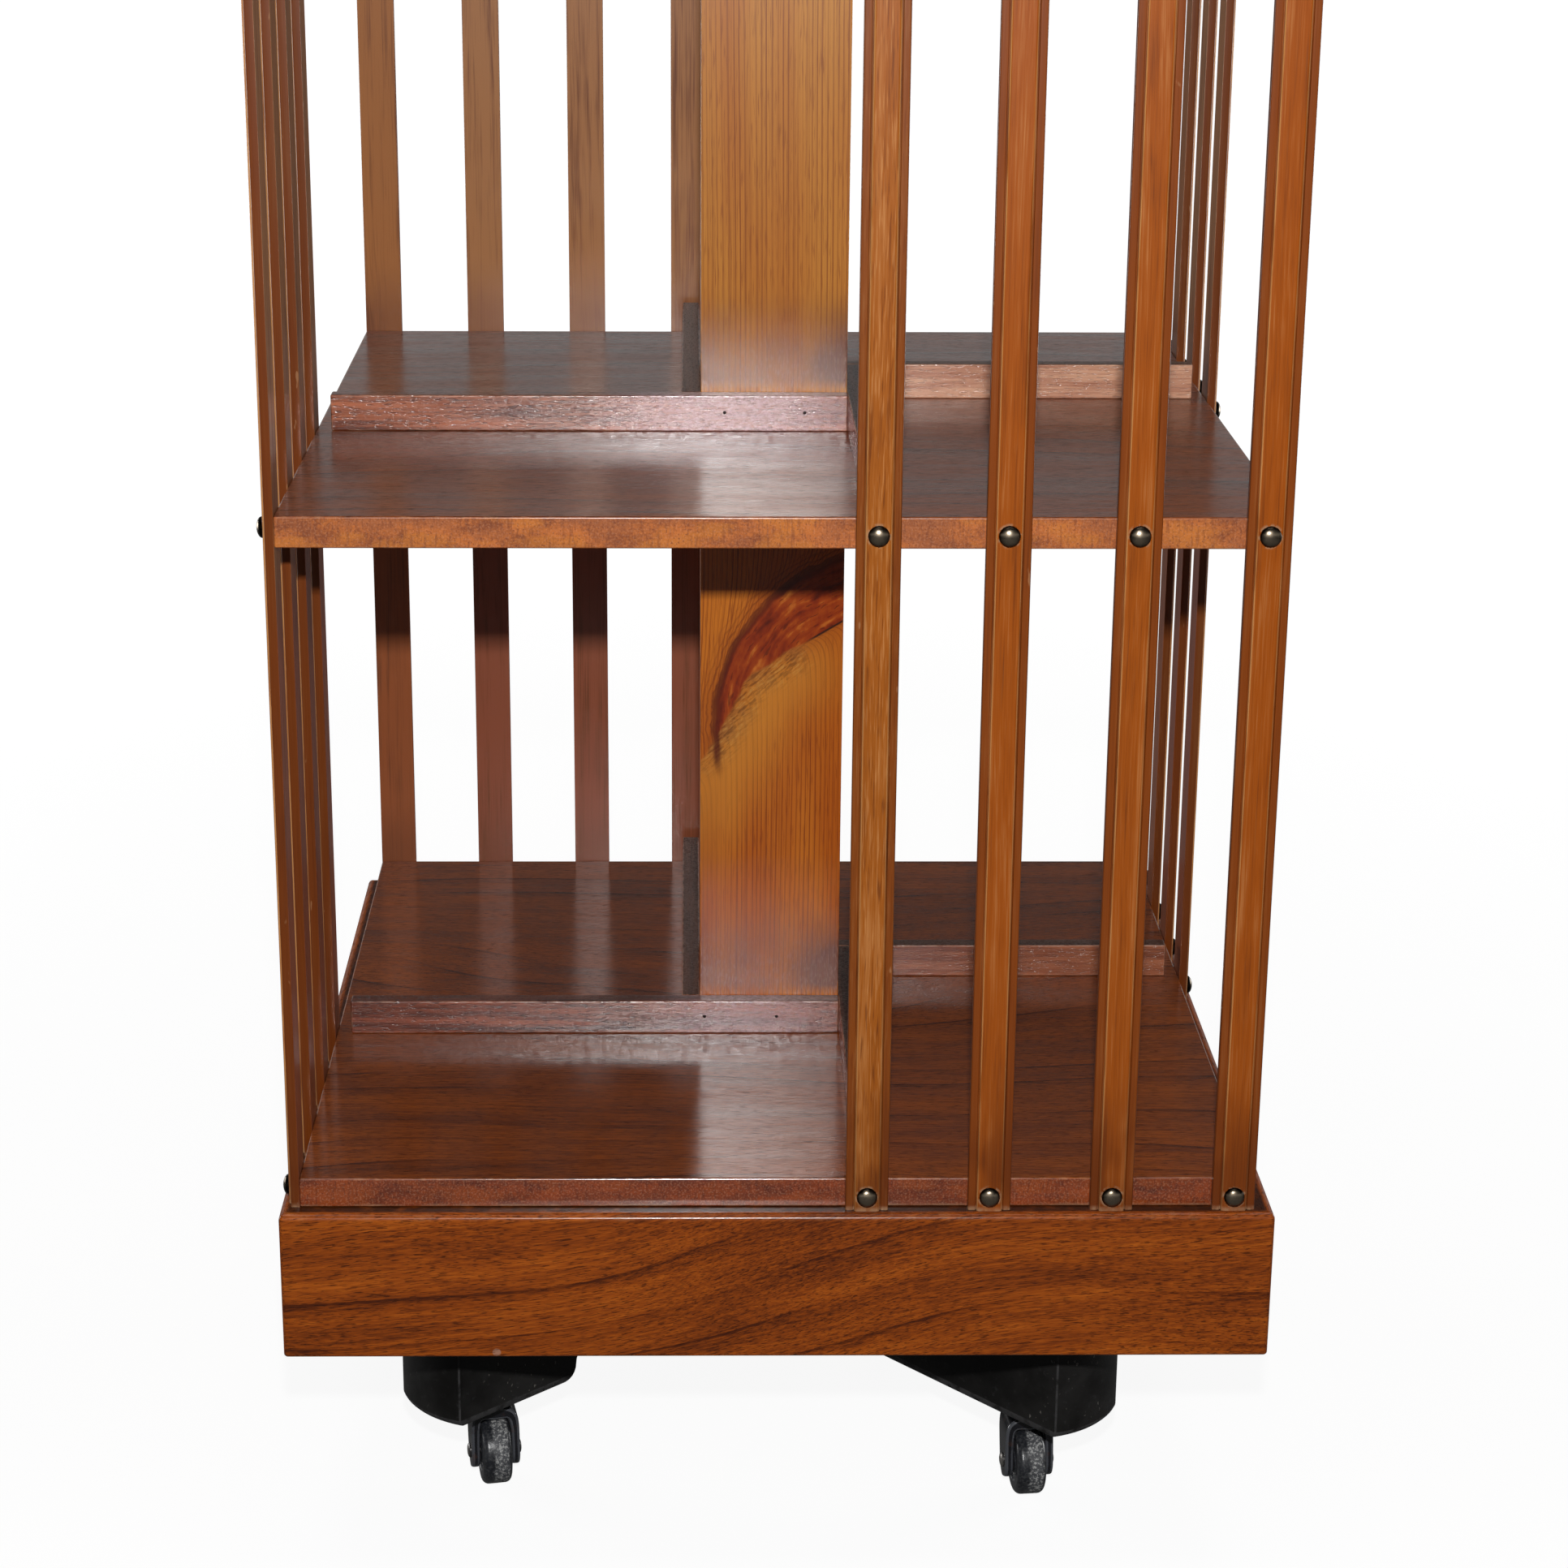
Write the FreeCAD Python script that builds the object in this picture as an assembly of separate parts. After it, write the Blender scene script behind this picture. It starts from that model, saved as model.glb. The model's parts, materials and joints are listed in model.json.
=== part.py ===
"""Square revolving bookcase with two tiers, on a cross base with four casters.

Millimetres, +Z up. The origin is on the floor under the pole that the case turns on.
The case's sides face -Y (front), +X (right), +Y (back) and -X (left), in that order by quarter turns.
"""
import FreeCAD, Part
import math
import os

from FreeCAD import Vector

# Cuts run past the faces that they open by this much
overrun = 2.0

# Shelves
shelf_width = 480.0
shelf_thickness = 15.5
shelf_arris = 1.0
lower_tier_clear = 325.0
upper_tier_clear = 300.0

# Plinth
plinth_ledge = 10.0
plinth_height = 79.0
rail_thickness = 20.0
rail_top_radius = 3.5
rail_foot_radius = 1.5
glue_block_leg = 52.0
glue_block_drop = 8.0

# Top board
top_overhang = 26.0
top_thickness = 19.0
top_mould_radius = 9.0
top_mould_step = 2.0
top_foot_radius = 3.0

# Slats
slats_per_side = 4
slat_width = 21.5
slat_thickness = 6.0
slat_first_offset = 34.0
slat_band_width = 3.7
slat_band_thickness = 4.5
slat_groove_width = 0.7
slat_groove_depth = 0.8
slat_shoulder = 0.8
slat_arris = 0.8

# Round-headed nails through the slats
nail_head_diameter = 10.4
nail_head_height = 3.3
nail_head_rim = 0.5
nail_shank_diameter = 2.2
nail_length = 16.0
nail_hole_clearance = 0.1
nail_tip_clearance = 0.5

# Hollow column
column_width = 77.0
column_board_thickness = 11.0

# Book stops
stop_thickness = 10.0
stop_height = 19.0
stop_end_inset = 8.0
stop_arris = 1.2

# Pole that the case turns on
pole_diameter = 25.0
pole_seat_clearance = 0.1
pole_passage_clearance = 8.0
pole_foot_inset = 1.5
pivot_diameter = 16.0
pivot_dome_height = 3.0
cup_mouth_gap = 2.5
running_clearance = 0.05
tip_gap = 0.2

# Thrust cup under the board that closes the upper tier
cup_wall = 6.0
cup_flange_thickness = 5.0
cup_depth = 22.0
cup_side_clearance = 4.5
cup_edge_radius = 1.5

# Guide bush in the bottom shelf
bush_wall = 5.0
bush_flange_margin = 16.0
bush_flange_thickness = 4.0
bush_edge_radius = 1.2
bush_seat_clearance = 0.1

# Flange that holds the pole on the cross
hub_wall = 7.0
hub_height = 36.0
flange_margin = 23.0
flange_thickness = 6.0
flange_edge_radius = 1.5

# Nut on the pole's foot
nut_across_flats = 36.0
nut_thickness = 13.0
nut_pocket_clearance = 2.0
nut_sides = 6

# Screws of the cup and the bush, of the flange and of the top board
screw_hole_clearance = 0.1
fitting_screw_diameter = 3.5
fitting_screw_head = 7.0
fitting_screw_length = 14.0
fitting_screw_count = 4
flange_screw_diameter = 5.5
flange_screw_head = 10.5
flange_screw_length = 36.0
top_screw_diameter = 4.0
top_screw_head = 8.0
top_screw_length = 28.0
top_screw_inset = 46.0
top_screw_spacing = 150.0
screw_point_share = 0.25

# Cross of two half-lapped beams
case_gap = 4.0
beam_width = 49.0
beam_depth = 72.0
beam_corner_reach = 248.0
beam_end_bulge = 6.0
beam_end_round = 4.0
lap_clearance = 0.1
arch_foot_length = 72.0
arch_rise = 19.0

# The cross stands turned against the case, clockwise from above
cross_turn_deg = -2.5

# Caster wheels and their axles
caster_end_inset = 42.0
wheel_diameter = 38.0
wheel_width = 16.0
wheel_edge_radius = 3.5
wheel_hub_diameter = 15.0
wheel_rim_depth = 7.0
wheel_web_recess = 1.5
axle_diameter = 5.0
axle_head_diameter = 8.0
axle_head_height = 1.6

# Caster forks
fork_side_gap = 0.7
fork_top_gap = 1.5
fork_arm_thickness = 4.5
fork_arm_end_radius = 9.3
fork_bow_share = 2 / 3
fork_crown_thickness = 7.5
fork_crown_half_width = 9.5
fork_crown_half_length = 11.0
fork_boss_diameter = 15.0
fork_boss_height = 4.7
fork_boss_gap = 0.3
caster_trail = 4.0
stem_diameter = 9.0
stem_length = 26.0
stem_tip_gap = 1.0

# Caster sockets
socket_wall = 2.5
socket_flange_diameter = 34.0
socket_flange_thickness = 2.5
socket_seat_clearance = 0.1

# Arms of the cross, anticlockwise from above, and how far the fork under each has swivelled
arm_names = ["front_right", "back_right", "back_left", "front_left"]
first_arm_deg = -45.0
arm_step_deg = 90.0
front_right_swivel_deg = 8.0
back_right_swivel_deg = 17.0
back_left_swivel_deg = -6.0
front_left_swivel_deg = 13.0

side_names = ["front", "right", "back", "left"]

# Heights, worked up from the floor
wheel_radius = wheel_diameter / 2
crown_bottom = wheel_diameter + fork_top_gap
crown_top = crown_bottom + fork_crown_thickness
boss_top = crown_top + fork_boss_height
beam_bottom = boss_top + fork_boss_gap + socket_flange_thickness
beam_top = beam_bottom + beam_depth
arch_bottom = beam_bottom + arch_rise
lap_height = (arch_bottom + beam_top) / 2
plinth_bottom = beam_top + case_gap
plinth_top = plinth_bottom + plinth_height
lower_tier_floor = plinth_top + shelf_thickness
middle_shelf_bottom = lower_tier_floor + lower_tier_clear
upper_tier_floor = middle_shelf_bottom + shelf_thickness
case_top_bottom = upper_tier_floor + upper_tier_clear
case_top_top = case_top_bottom + shelf_thickness

# Widths that several pieces share
shelf_half = shelf_width / 2
plinth_half = shelf_half + plinth_ledge
column_half = column_width / 2
column_inside = column_half - column_board_thickness
pole_radius = pole_diameter / 2
pole_seat_radius = pole_radius + pole_seat_clearance
pivot_radius = pivot_diameter / 2
wheel_inside = wheel_width / 2 + fork_side_gap
fork_outside = wheel_inside + fork_arm_thickness
caster_radius = beam_corner_reach - caster_end_inset

# The thrust cup and the guide bush
cup_ceiling = case_top_bottom - cup_flange_thickness
cup_mouth = cup_ceiling - cup_depth
cup_bore_radius = pivot_radius + running_clearance
cup_outer_radius = cup_bore_radius + cup_wall
cup_flange_radius = column_inside - cup_side_clearance
cup_screw_radius = (cup_outer_radius + cup_flange_radius) / 2
bush_bore_radius = pole_radius + running_clearance
bush_outer_radius = bush_bore_radius + bush_wall
bush_flange_radius = bush_outer_radius + bush_flange_margin
bush_screw_radius = (bush_outer_radius + bush_flange_radius) / 2
hub_radius = pole_seat_radius + hub_wall
flange_radius = hub_radius + flange_margin
flange_screw_radius = (hub_radius + flange_radius) / 2

UP = Vector(0, 0, 1)
CENTRE = Vector(0, 0, 0)


def block(low, high):
    """Return a box between two corners."""
    return Part.makeBox(high[0] - low[0], high[1] - low[1], high[2] - low[2], Vector(*low))


def rod(radius, low, high, place=(0, 0)):
    """Return an upright cylinder between two heights."""
    return Part.makeCylinder(radius, high - low, Vector(place[0], place[1], low), UP)


def in_plan(x, y):
    """Place an outline's point on the floor."""
    return Vector(x, y, 0)


def in_elevation(x, z):
    """Place an outline's point on the upright plane through the X axis."""
    return Vector(x, 0, z)


def in_side_view(y, z):
    """Place an outline's point on the upright plane through the Y axis."""
    return Vector(0, y, z)


def outline(points, plane):
    """Return a face inside a closed outline.

    Each point is a pair. An arc's end is a pair of pairs: a point that the arc passes, and the end.
    """
    edges = []
    here = plane(*points[0])
    for step in points[1:] + points[:1]:
        if isinstance(step[0], tuple):
            passed, end = plane(*step[0]), plane(*step[1])
            edges.append(Part.Arc(here, passed, end).toShape())
        else:
            end = plane(*step)
            edges.append(Part.makeLine(here, end))
        here = end
    return Part.Face(Part.Wire(edges))


def corner_arc(centre, radius, from_deg, to_deg):
    """Return an arc's end for an outline: the arc turns about a centre from one direction to another."""
    middle = math.radians((from_deg + to_deg) / 2)
    last = math.radians(to_deg)
    passed = (centre[0] + radius * math.cos(middle), centre[1] + radius * math.sin(middle))
    end = (centre[0] + radius * math.cos(last), centre[1] + radius * math.sin(last))
    return (passed, end)


def dome_arc(radius, rise, top, rim):
    """Return the arc of a dome for a profile, from its top on the Z axis out to its rim."""
    curve = (radius * radius + rise * rise) / (2 * rise)
    lean = math.asin(radius / curve) / 2
    drop = curve * (1 - math.cos(lean)) / rise
    return ((curve * math.sin(lean), top + drop * (rim - top)), (radius, rim))


def turned_profile(points):
    """Return the solid that an outline of (radius, height) points makes round the Z axis."""
    return outline(points, in_elevation).revolve(CENTRE, UP, 360)


def turned(shape, degrees):
    """Return a copy of a shape turned about the Z axis."""
    copy = shape.copy()
    copy.rotate(CENTRE, UP, degrees)
    return copy


def moved(shape, x, y, z):
    """Return a copy of a shape moved along the axes."""
    copy = shape.copy()
    copy.translate(Vector(x, y, z))
    return copy


def on_all_sides(shape):
    """Return four copies of a shape, one for each side of the case."""
    return [turned(shape, 90 * side) for side in range(len(side_names))]


def save(name, solids):
    """Write one named piece, or a group of alike pieces, as a STEP file."""
    shape = Part.makeCompound(solids) if isinstance(solids, list) else solids
    shape.exportStep(f"parts/{name}.step")


# Screws

def screw(diameter, head_diameter, length):
    """Return a countersunk screw that points down, with its head's top at the origin."""
    head, shank = head_diameter / 2, diameter / 2
    neck = head - shank
    point = length * screw_point_share
    return turned_profile([(0, 0), (head, 0), (shank, -neck), (shank, point - length), (0, -length)])


def screw_hole(diameter, head_diameter, length):
    """Return the space that a countersunk screw takes, open above its head."""
    head = head_diameter / 2 + screw_hole_clearance
    shank = diameter / 2 + screw_hole_clearance
    neck = head - shank
    foot = length + screw_hole_clearance
    mouth = [(0, overrun), (head, overrun), (head, 0)]
    return turned_profile(mouth + [(shank, -neck), (shank, -foot), (0, -foot)])


def pointed_up(shape):
    """Turn a screw or its hole over, so that it points up from the origin."""
    shape.rotate(CENTRE, Vector(1, 0, 0), 180)
    return shape


def ring(shape, count, radius, height):
    """Return copies of a shape on a circle, the first on a diagonal of the case."""
    first = moved(shape, radius, 0, height)
    return [turned(first, 45 + 360 * number / count) for number in range(count)]


def cup_screws(make):
    """Return the thrust cup's screws or their holes, driven up through its flange."""
    piece = pointed_up(make(fitting_screw_diameter, fitting_screw_head, fitting_screw_length))
    return ring(piece, fitting_screw_count, cup_screw_radius, cup_ceiling)


def bush_screws(make):
    """Return the guide bush's screws or their holes, driven up through its flange."""
    piece = pointed_up(make(fitting_screw_diameter, fitting_screw_head, fitting_screw_length))
    return ring(piece, fitting_screw_count, bush_screw_radius, plinth_top - bush_flange_thickness)


def flange_screws(make):
    """Return the pole flange's screws or their holes, one down into each arm of the cross."""
    piece = make(flange_screw_diameter, flange_screw_head, flange_screw_length)
    return ring(piece, len(arm_names), flange_screw_radius, beam_top + flange_thickness)


def top_screws(make):
    """Return the top board's screws or their holes, two near each side, driven up from below."""
    piece = pointed_up(make(top_screw_diameter, top_screw_head, top_screw_length))
    screws = []
    for across in (-top_screw_spacing, top_screw_spacing):
        screws += on_all_sides(moved(piece, across, top_screw_inset - shelf_half, case_top_bottom))
    return screws


# Slats and their nails

def slat_places():
    """Return the middles of one side's slats, measured from the case's centre line."""
    first = slat_first_offset + slat_width / 2
    last = shelf_half - slat_width / 2
    pitch = (last - first) / (slats_per_side - 1)
    return [first + number * pitch for number in range(slats_per_side)]


def nail_heights():
    """Return the heights of the nails, at the middle of each shelf's edge."""
    undersides = [plinth_top, middle_shelf_bottom, case_top_bottom]
    return [underside + shelf_thickness / 2 for underside in undersides]


def nail():
    """Return a round-headed nail that points to +Y, with its head's seat at the origin."""
    head, shank = nail_head_diameter / 2, nail_shank_diameter / 2
    point = nail_length - nail_shank_diameter
    solid = turned_profile([
        (0, -nail_head_height),
        dome_arc(head, nail_head_height - nail_head_rim, -nail_head_height, -nail_head_rim),
        (head, 0),
        (shank, 0),
        (shank, point),
        (0, nail_length),
    ])
    solid.rotate(CENTRE, Vector(1, 0, 0), -90)
    return solid


def nail_drill():
    """Return the space of a nail's shank, from in front of its slat to beyond its point."""
    radius = nail_shank_diameter / 2 + nail_hole_clearance
    depth = nail_length + nail_tip_clearance
    return Part.makeCylinder(radius, depth + overrun, Vector(0, -overrun, 0), Vector(0, 1, 0))


def at_nails(shape, heights):
    """Return copies of a shape at the front side's nails, on the face of its slats."""
    face = -shelf_half - slat_thickness
    return [moved(shape, across, face, height) for across in slat_places() for height in heights]


def slat_outline():
    """Return a slat's section in plan, with its back on the X axis and its face to -Y."""
    edge = slat_width / 2
    groove = edge - slat_band_width
    raised = groove - slat_groove_width
    corners = [
        (edge, 0),
        (edge, slat_arris - slat_band_thickness),
        (edge - slat_arris, -slat_band_thickness),
        (groove, -slat_band_thickness),
        (raised, slat_groove_depth - slat_band_thickness),
        (raised, slat_shoulder - slat_thickness),
        (raised - slat_shoulder, -slat_thickness),
    ]
    mirrored = [(-across, out) for across, out in reversed(corners)]
    return outline(corners + mirrored, in_plan)


def make_slats():
    """Save every slat, which stands on the plinth's ledge and reaches up to the top board."""
    blank = slat_outline().extrude(Vector(0, 0, case_top_top - plinth_top))
    for number, across in enumerate(slat_places(), start=1):
        slat = moved(blank, across, -shelf_half, plinth_top)
        for height in nail_heights():
            slat = slat.cut(moved(nail_drill(), across, -shelf_half - slat_thickness, height))
        for side, name in enumerate(side_names):
            save(f"{name}_slat_{number}", turned(slat, 90 * side))


def make_nails():
    """Save the nails of all four sides as one group."""
    nails = []
    for piece in at_nails(nail(), nail_heights()):
        nails += on_all_sides(piece)
    save("slat_nails", nails)


# Shelves

def board(half_width, underside, thickness, arris):
    """Return a square board with softened edges above and below."""
    solid = block((-half_width, -half_width, underside), (half_width, half_width, underside + thickness))
    long_edges = [edge for edge in solid.Edges if abs(edge.tangentAt(edge.FirstParameter).z) < 0.5]
    return solid.makeChamfer(arris, long_edges)


def nailed_board(underside):
    """Return a shelf with its edges drilled for the nails of all four sides."""
    shelf = board(shelf_half, underside, shelf_thickness, shelf_arris)
    drills = []
    for drill in at_nails(nail_drill(), [underside + shelf_thickness / 2]):
        drills += on_all_sides(drill)
    return shelf.cut(Part.makeCompound(drills))


def make_bottom_shelf():
    """Save the shelf on the plinth, which holds the guide bush."""
    hole = rod(bush_outer_radius + bush_seat_clearance, plinth_top - overrun, lower_tier_floor + overrun)
    holes = Part.makeCompound([hole] + bush_screws(screw_hole))
    save("bottom_shelf", nailed_board(plinth_top).cut(holes))


def make_middle_shelf():
    """Save the shelf between the tiers, which the pole passes freely."""
    passage = pole_radius + pole_passage_clearance
    hole = rod(passage, middle_shelf_bottom - overrun, upper_tier_floor + overrun)
    save("middle_shelf", nailed_board(middle_shelf_bottom).cut(hole))


def make_case_top():
    """Save the board that closes the upper tier and hangs on the thrust cup."""
    holes = Part.makeCompound(cup_screws(screw_hole) + top_screws(screw_hole))
    save("case_top", nailed_board(case_top_bottom).cut(holes))


def make_top_board():
    """Save the wide top with its moulded edge: a quarter round under a small step."""
    half = shelf_half + top_overhang
    top = case_top_top + top_thickness
    edge = half - top_mould_radius
    shoulder = top - top_mould_step
    foot = case_top_top + top_foot_radius
    profile = [
        (0, case_top_top),
        (half - top_foot_radius, case_top_top),
        corner_arc((half - top_foot_radius, foot), top_foot_radius, -90, 0),
        (half, shoulder - top_mould_radius),
        corner_arc((edge, shoulder - top_mould_radius), top_mould_radius, 0, 90),
        (edge, top),
        (0, top),
    ]
    reach = half + overrun
    wedge = outline([(0, 0), (reach, -reach), (reach, reach)], in_plan)
    wedge.translate(Vector(0, 0, case_top_top - overrun))
    wedge = wedge.extrude(Vector(0, 0, top_thickness + 2 * overrun))
    length = outline(profile, in_elevation)
    length.translate(Vector(0, -reach, 0))
    quarter = length.extrude(Vector(0, 2 * reach, 0)).common(wedge)
    quarters = on_all_sides(quarter)
    solid = quarters[0].multiFuse(quarters[1:]).removeSplitter()
    save("top_board", solid.cut(Part.makeCompound(top_screws(screw_hole))))


# Plinth

def rail_section():
    """Return the plinth rail's section, seen along the rail, with its outer face to the right."""
    inner = plinth_half - rail_thickness
    top_centre = (plinth_half - rail_top_radius, plinth_top - rail_top_radius)
    foot_centre = (plinth_half - rail_foot_radius, plinth_bottom + rail_foot_radius)
    points = [
        (inner, plinth_bottom),
        (plinth_half - rail_foot_radius, plinth_bottom),
        corner_arc(foot_centre, rail_foot_radius, -90, 0),
        (plinth_half, plinth_top - rail_top_radius),
        corner_arc(top_centre, rail_top_radius, 0, 90),
        (inner, plinth_top),
    ]
    return outline(points, in_elevation)


def make_plinth_rails():
    """Save the four rails, mitred where they meet."""
    reach = plinth_half + overrun
    mitre = outline([(0, 0), (reach, -reach), (reach, reach)], in_plan)
    mitre.translate(Vector(0, 0, plinth_bottom - overrun))
    mitre = mitre.extrude(Vector(0, 0, plinth_height + 2 * overrun))
    section = rail_section()
    section.translate(Vector(0, -reach, 0))
    rail = section.extrude(Vector(0, 2 * reach, 0)).common(mitre)
    for side, name in enumerate(side_names):
        save(f"plinth_rail_{name}", turned(rail, 90 * (side - 1)))


def make_glue_blocks():
    """Save the three-cornered blocks that hold the rails' mitres from inside."""
    corner = plinth_half - rail_thickness
    points = [(corner, corner), (corner - glue_block_leg, corner), (corner, corner - glue_block_leg)]
    face = outline(points, in_plan)
    face.translate(Vector(0, 0, plinth_bottom + glue_block_drop))
    save("plinth_glue_blocks", on_all_sides(face.extrude(Vector(0, 0, plinth_height - glue_block_drop))))


# Column and book stops

def column_boards(floor, clear):
    """Return one tier's column: boards at the front and back, and two narrower ones between them."""
    faces = block((-column_half, -column_half, floor), (column_half, -column_inside, floor + clear))
    cheeks = block((column_inside, -column_inside, floor), (column_half, column_inside, floor + clear))
    return [faces, cheeks, turned(faces, 180), turned(cheeks, 180)]


def make_columns():
    """Save the column's boards, a group for each tier."""
    save("lower_column_boards", column_boards(lower_tier_floor, lower_tier_clear))
    save("upper_column_boards", column_boards(upper_tier_floor, upper_tier_clear))


def book_stop(floor):
    """Return the front stop, from near the left side along the column to the column's right corner."""
    outer = -column_half - stop_thickness
    section = [
        (outer, floor),
        (outer, floor + stop_height - stop_arris),
        (outer + stop_arris, floor + stop_height),
        (-column_half, floor + stop_height),
        (-column_half, floor),
    ]
    start = stop_end_inset - shelf_half
    face = outline(section, in_side_view)
    face.translate(Vector(start, 0, 0))
    return face.extrude(Vector(column_half - start, 0, 0))


def make_book_stops():
    """Save the stops of both tiers, set as a pinwheel round the column."""
    for tier, floor in (("lower", lower_tier_floor), ("upper", upper_tier_floor)):
        for name, stop in zip(side_names, on_all_sides(book_stop(floor))):
            save(f"{tier}_book_stop_{name}", stop)


# Pole and its bearings

def make_pole():
    """Save the pole, stepped down to a pivot with a domed tip."""
    tip = cup_ceiling - tip_gap
    shoulder = cup_mouth - cup_mouth_gap
    rim = tip - pivot_dome_height
    foot = beam_bottom + pole_foot_inset
    profile = [
        (0, tip),
        dome_arc(pivot_radius, pivot_dome_height, tip, rim),
        (pivot_radius, shoulder),
        (pole_radius, shoulder),
        (pole_radius, foot),
        (0, foot),
    ]
    save("pole", turned(turned_profile(profile), cross_turn_deg))


def make_thrust_cup():
    """Save the cup that carries the case on the pole's tip."""
    edge = cup_edge_radius
    profile = [
        (0, case_top_bottom),
        (0, cup_ceiling),
        (cup_bore_radius, cup_ceiling),
        (cup_bore_radius, cup_mouth),
        (cup_outer_radius - edge, cup_mouth),
        corner_arc((cup_outer_radius - edge, cup_mouth + edge), edge, -90, 0),
        (cup_outer_radius, cup_ceiling),
        (cup_flange_radius - edge, cup_ceiling),
        corner_arc((cup_flange_radius - edge, cup_ceiling + edge), edge, -90, 0),
        (cup_flange_radius, case_top_bottom),
    ]
    save("thrust_cup", turned_profile(profile).cut(Part.makeCompound(cup_screws(screw_hole))))


def make_guide_bush():
    """Save the bush that keeps the case upright on the pole."""
    flange_foot = plinth_top - bush_flange_thickness
    edge = bush_edge_radius
    profile = [
        (bush_bore_radius, flange_foot),
        (bush_flange_radius - edge, flange_foot),
        corner_arc((bush_flange_radius - edge, flange_foot + edge), edge, -90, 0),
        (bush_flange_radius, plinth_top),
        (bush_outer_radius, plinth_top),
        (bush_outer_radius, lower_tier_floor),
        (bush_bore_radius, lower_tier_floor),
    ]
    save("guide_bush", turned_profile(profile).cut(Part.makeCompound(bush_screws(screw_hole))))


def make_fitting_screws():
    """Save the screws of the cup and the bush, which are alike."""
    save("fitting_screws", cup_screws(screw) + bush_screws(screw))


def make_pole_flange():
    """Save the flange that stands on the cross and holds the pole in its hub."""
    flange_top = beam_top + flange_thickness
    hub_top = flange_top + hub_height
    edge = flange_edge_radius
    profile = [
        (pole_seat_radius, beam_top),
        (flange_radius, beam_top),
        (flange_radius, flange_top - edge),
        corner_arc((flange_radius - edge, flange_top - edge), edge, 0, 90),
        (hub_radius, flange_top),
        (hub_radius, hub_top - edge),
        corner_arc((hub_radius - edge, hub_top - edge), edge, 0, 90),
        (pole_seat_radius, hub_top),
    ]
    flange = turned_profile(profile).cut(Part.makeCompound(flange_screws(screw_hole)))
    save("pole_flange", turned(flange, cross_turn_deg))
    save("flange_screws", [turned(piece, cross_turn_deg) for piece in flange_screws(screw)])


def make_pole_nut():
    """Save the nut that draws the pole's foot into the lower beam."""
    corner = nut_across_flats / 2 / math.cos(math.pi / nut_sides)
    turns = [2 * math.pi * side / nut_sides for side in range(nut_sides)]
    face = outline([(corner * math.cos(turn), corner * math.sin(turn)) for turn in turns], in_plan)
    low = beam_bottom + nut_pocket_clearance
    face.translate(Vector(0, 0, low))
    nut = face.extrude(Vector(0, 0, nut_thickness))
    nut = nut.cut(rod(pole_seat_radius, low - overrun, low + nut_thickness + overrun))
    save("pole_nut", turned(nut, cross_turn_deg))


# Cross base

def beam_blank():
    """Return a beam along the X axis with bowed ends, softened where the ends meet the underside."""
    side = beam_width / 2
    reach = beam_corner_reach
    tip = reach + beam_end_bulge
    face = outline([
        (0, -side),
        (reach, -side),
        ((tip, 0), (reach, side)),
        (-reach, side),
        ((-tip, 0), (-reach, -side)),
    ], in_plan)
    face.translate(Vector(0, 0, beam_bottom))
    beam = face.extrude(Vector(0, 0, beam_depth))
    bowed = [edge for edge in beam.Edges if isinstance(edge.Curve, Part.Circle)]
    below = [edge for edge in bowed if edge.BoundBox.ZMax < lap_height]
    return beam.makeFillet(beam_end_round, below)


def arch_space():
    """Return the space under the upper beam: its feet curve inwards and up into a straight underside."""
    bend = arch_rise / 2
    foot = beam_corner_reach - arch_foot_length
    height = beam_bottom + bend
    points = [
        (-foot, beam_bottom - overrun),
        (foot, beam_bottom - overrun),
        (foot, beam_bottom),
        corner_arc((foot, height), bend, -90, -180),
        corner_arc((foot - arch_rise, height), bend, 0, 90),
        (arch_rise - foot, arch_bottom),
        corner_arc((arch_rise - foot, height), bend, 90, 180),
        corner_arc((-foot, height), bend, 0, -90),
    ]
    face = outline(points, in_elevation)
    face.translate(Vector(0, -beam_width, 0))
    return face.extrude(Vector(0, 2 * beam_width, 0))


def lap_space(low, high):
    """Return the notch of one beam, where the other beam crosses it."""
    side = beam_width / 2 + lap_clearance
    return block((-side, -beam_width, low), (side, beam_width, high))


def pole_hole():
    """Return the hole for the pole, through both beams."""
    return rod(pole_seat_radius, beam_bottom - overrun, beam_top + overrun)


def socket_holes():
    """Return the holes for a beam's two caster sockets."""
    radius = socket_outer_radius + socket_seat_clearance
    low = beam_bottom - overrun
    return [rod(radius, low, socket_top, (place, 0)) for place in (-caster_radius, caster_radius)]


def make_cross():
    """Save the two beams, half-lapped where they cross."""
    pocket_radius = nut_across_flats / math.cos(math.pi / nut_sides) / 2 + nut_pocket_clearance
    pocket = rod(pocket_radius, beam_bottom - overrun, beam_bottom + nut_pocket_clearance + nut_thickness)
    lower_cuts = [lap_space(lap_height, beam_top + overrun), pocket, pole_hole()] + socket_holes()
    upper_cuts = [arch_space(), lap_space(arch_bottom - overrun, lap_height), pole_hole()] + socket_holes()
    screw_holes = Part.makeCompound(flange_screws(screw_hole))
    lower = turned(beam_blank().cut(Part.makeCompound(lower_cuts)), first_arm_deg)
    upper = turned(beam_blank().cut(Part.makeCompound(upper_cuts)), first_arm_deg - arm_step_deg)
    save("lower_cross_beam", turned(lower.cut(screw_holes), cross_turn_deg))
    save("upper_cross_beam", turned(upper.cut(screw_holes), cross_turn_deg))


# Casters, each made over the floor's origin with its axle along X and its wheel trailing to -Y

stem_radius = stem_diameter / 2
stem_top = boss_top + stem_length
socket_bore_radius = stem_radius + running_clearance
socket_outer_radius = socket_bore_radius + socket_wall
socket_top = stem_top + stem_tip_gap + socket_wall
axle_radius = axle_diameter / 2
axle_hole_radius = axle_radius + running_clearance


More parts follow.
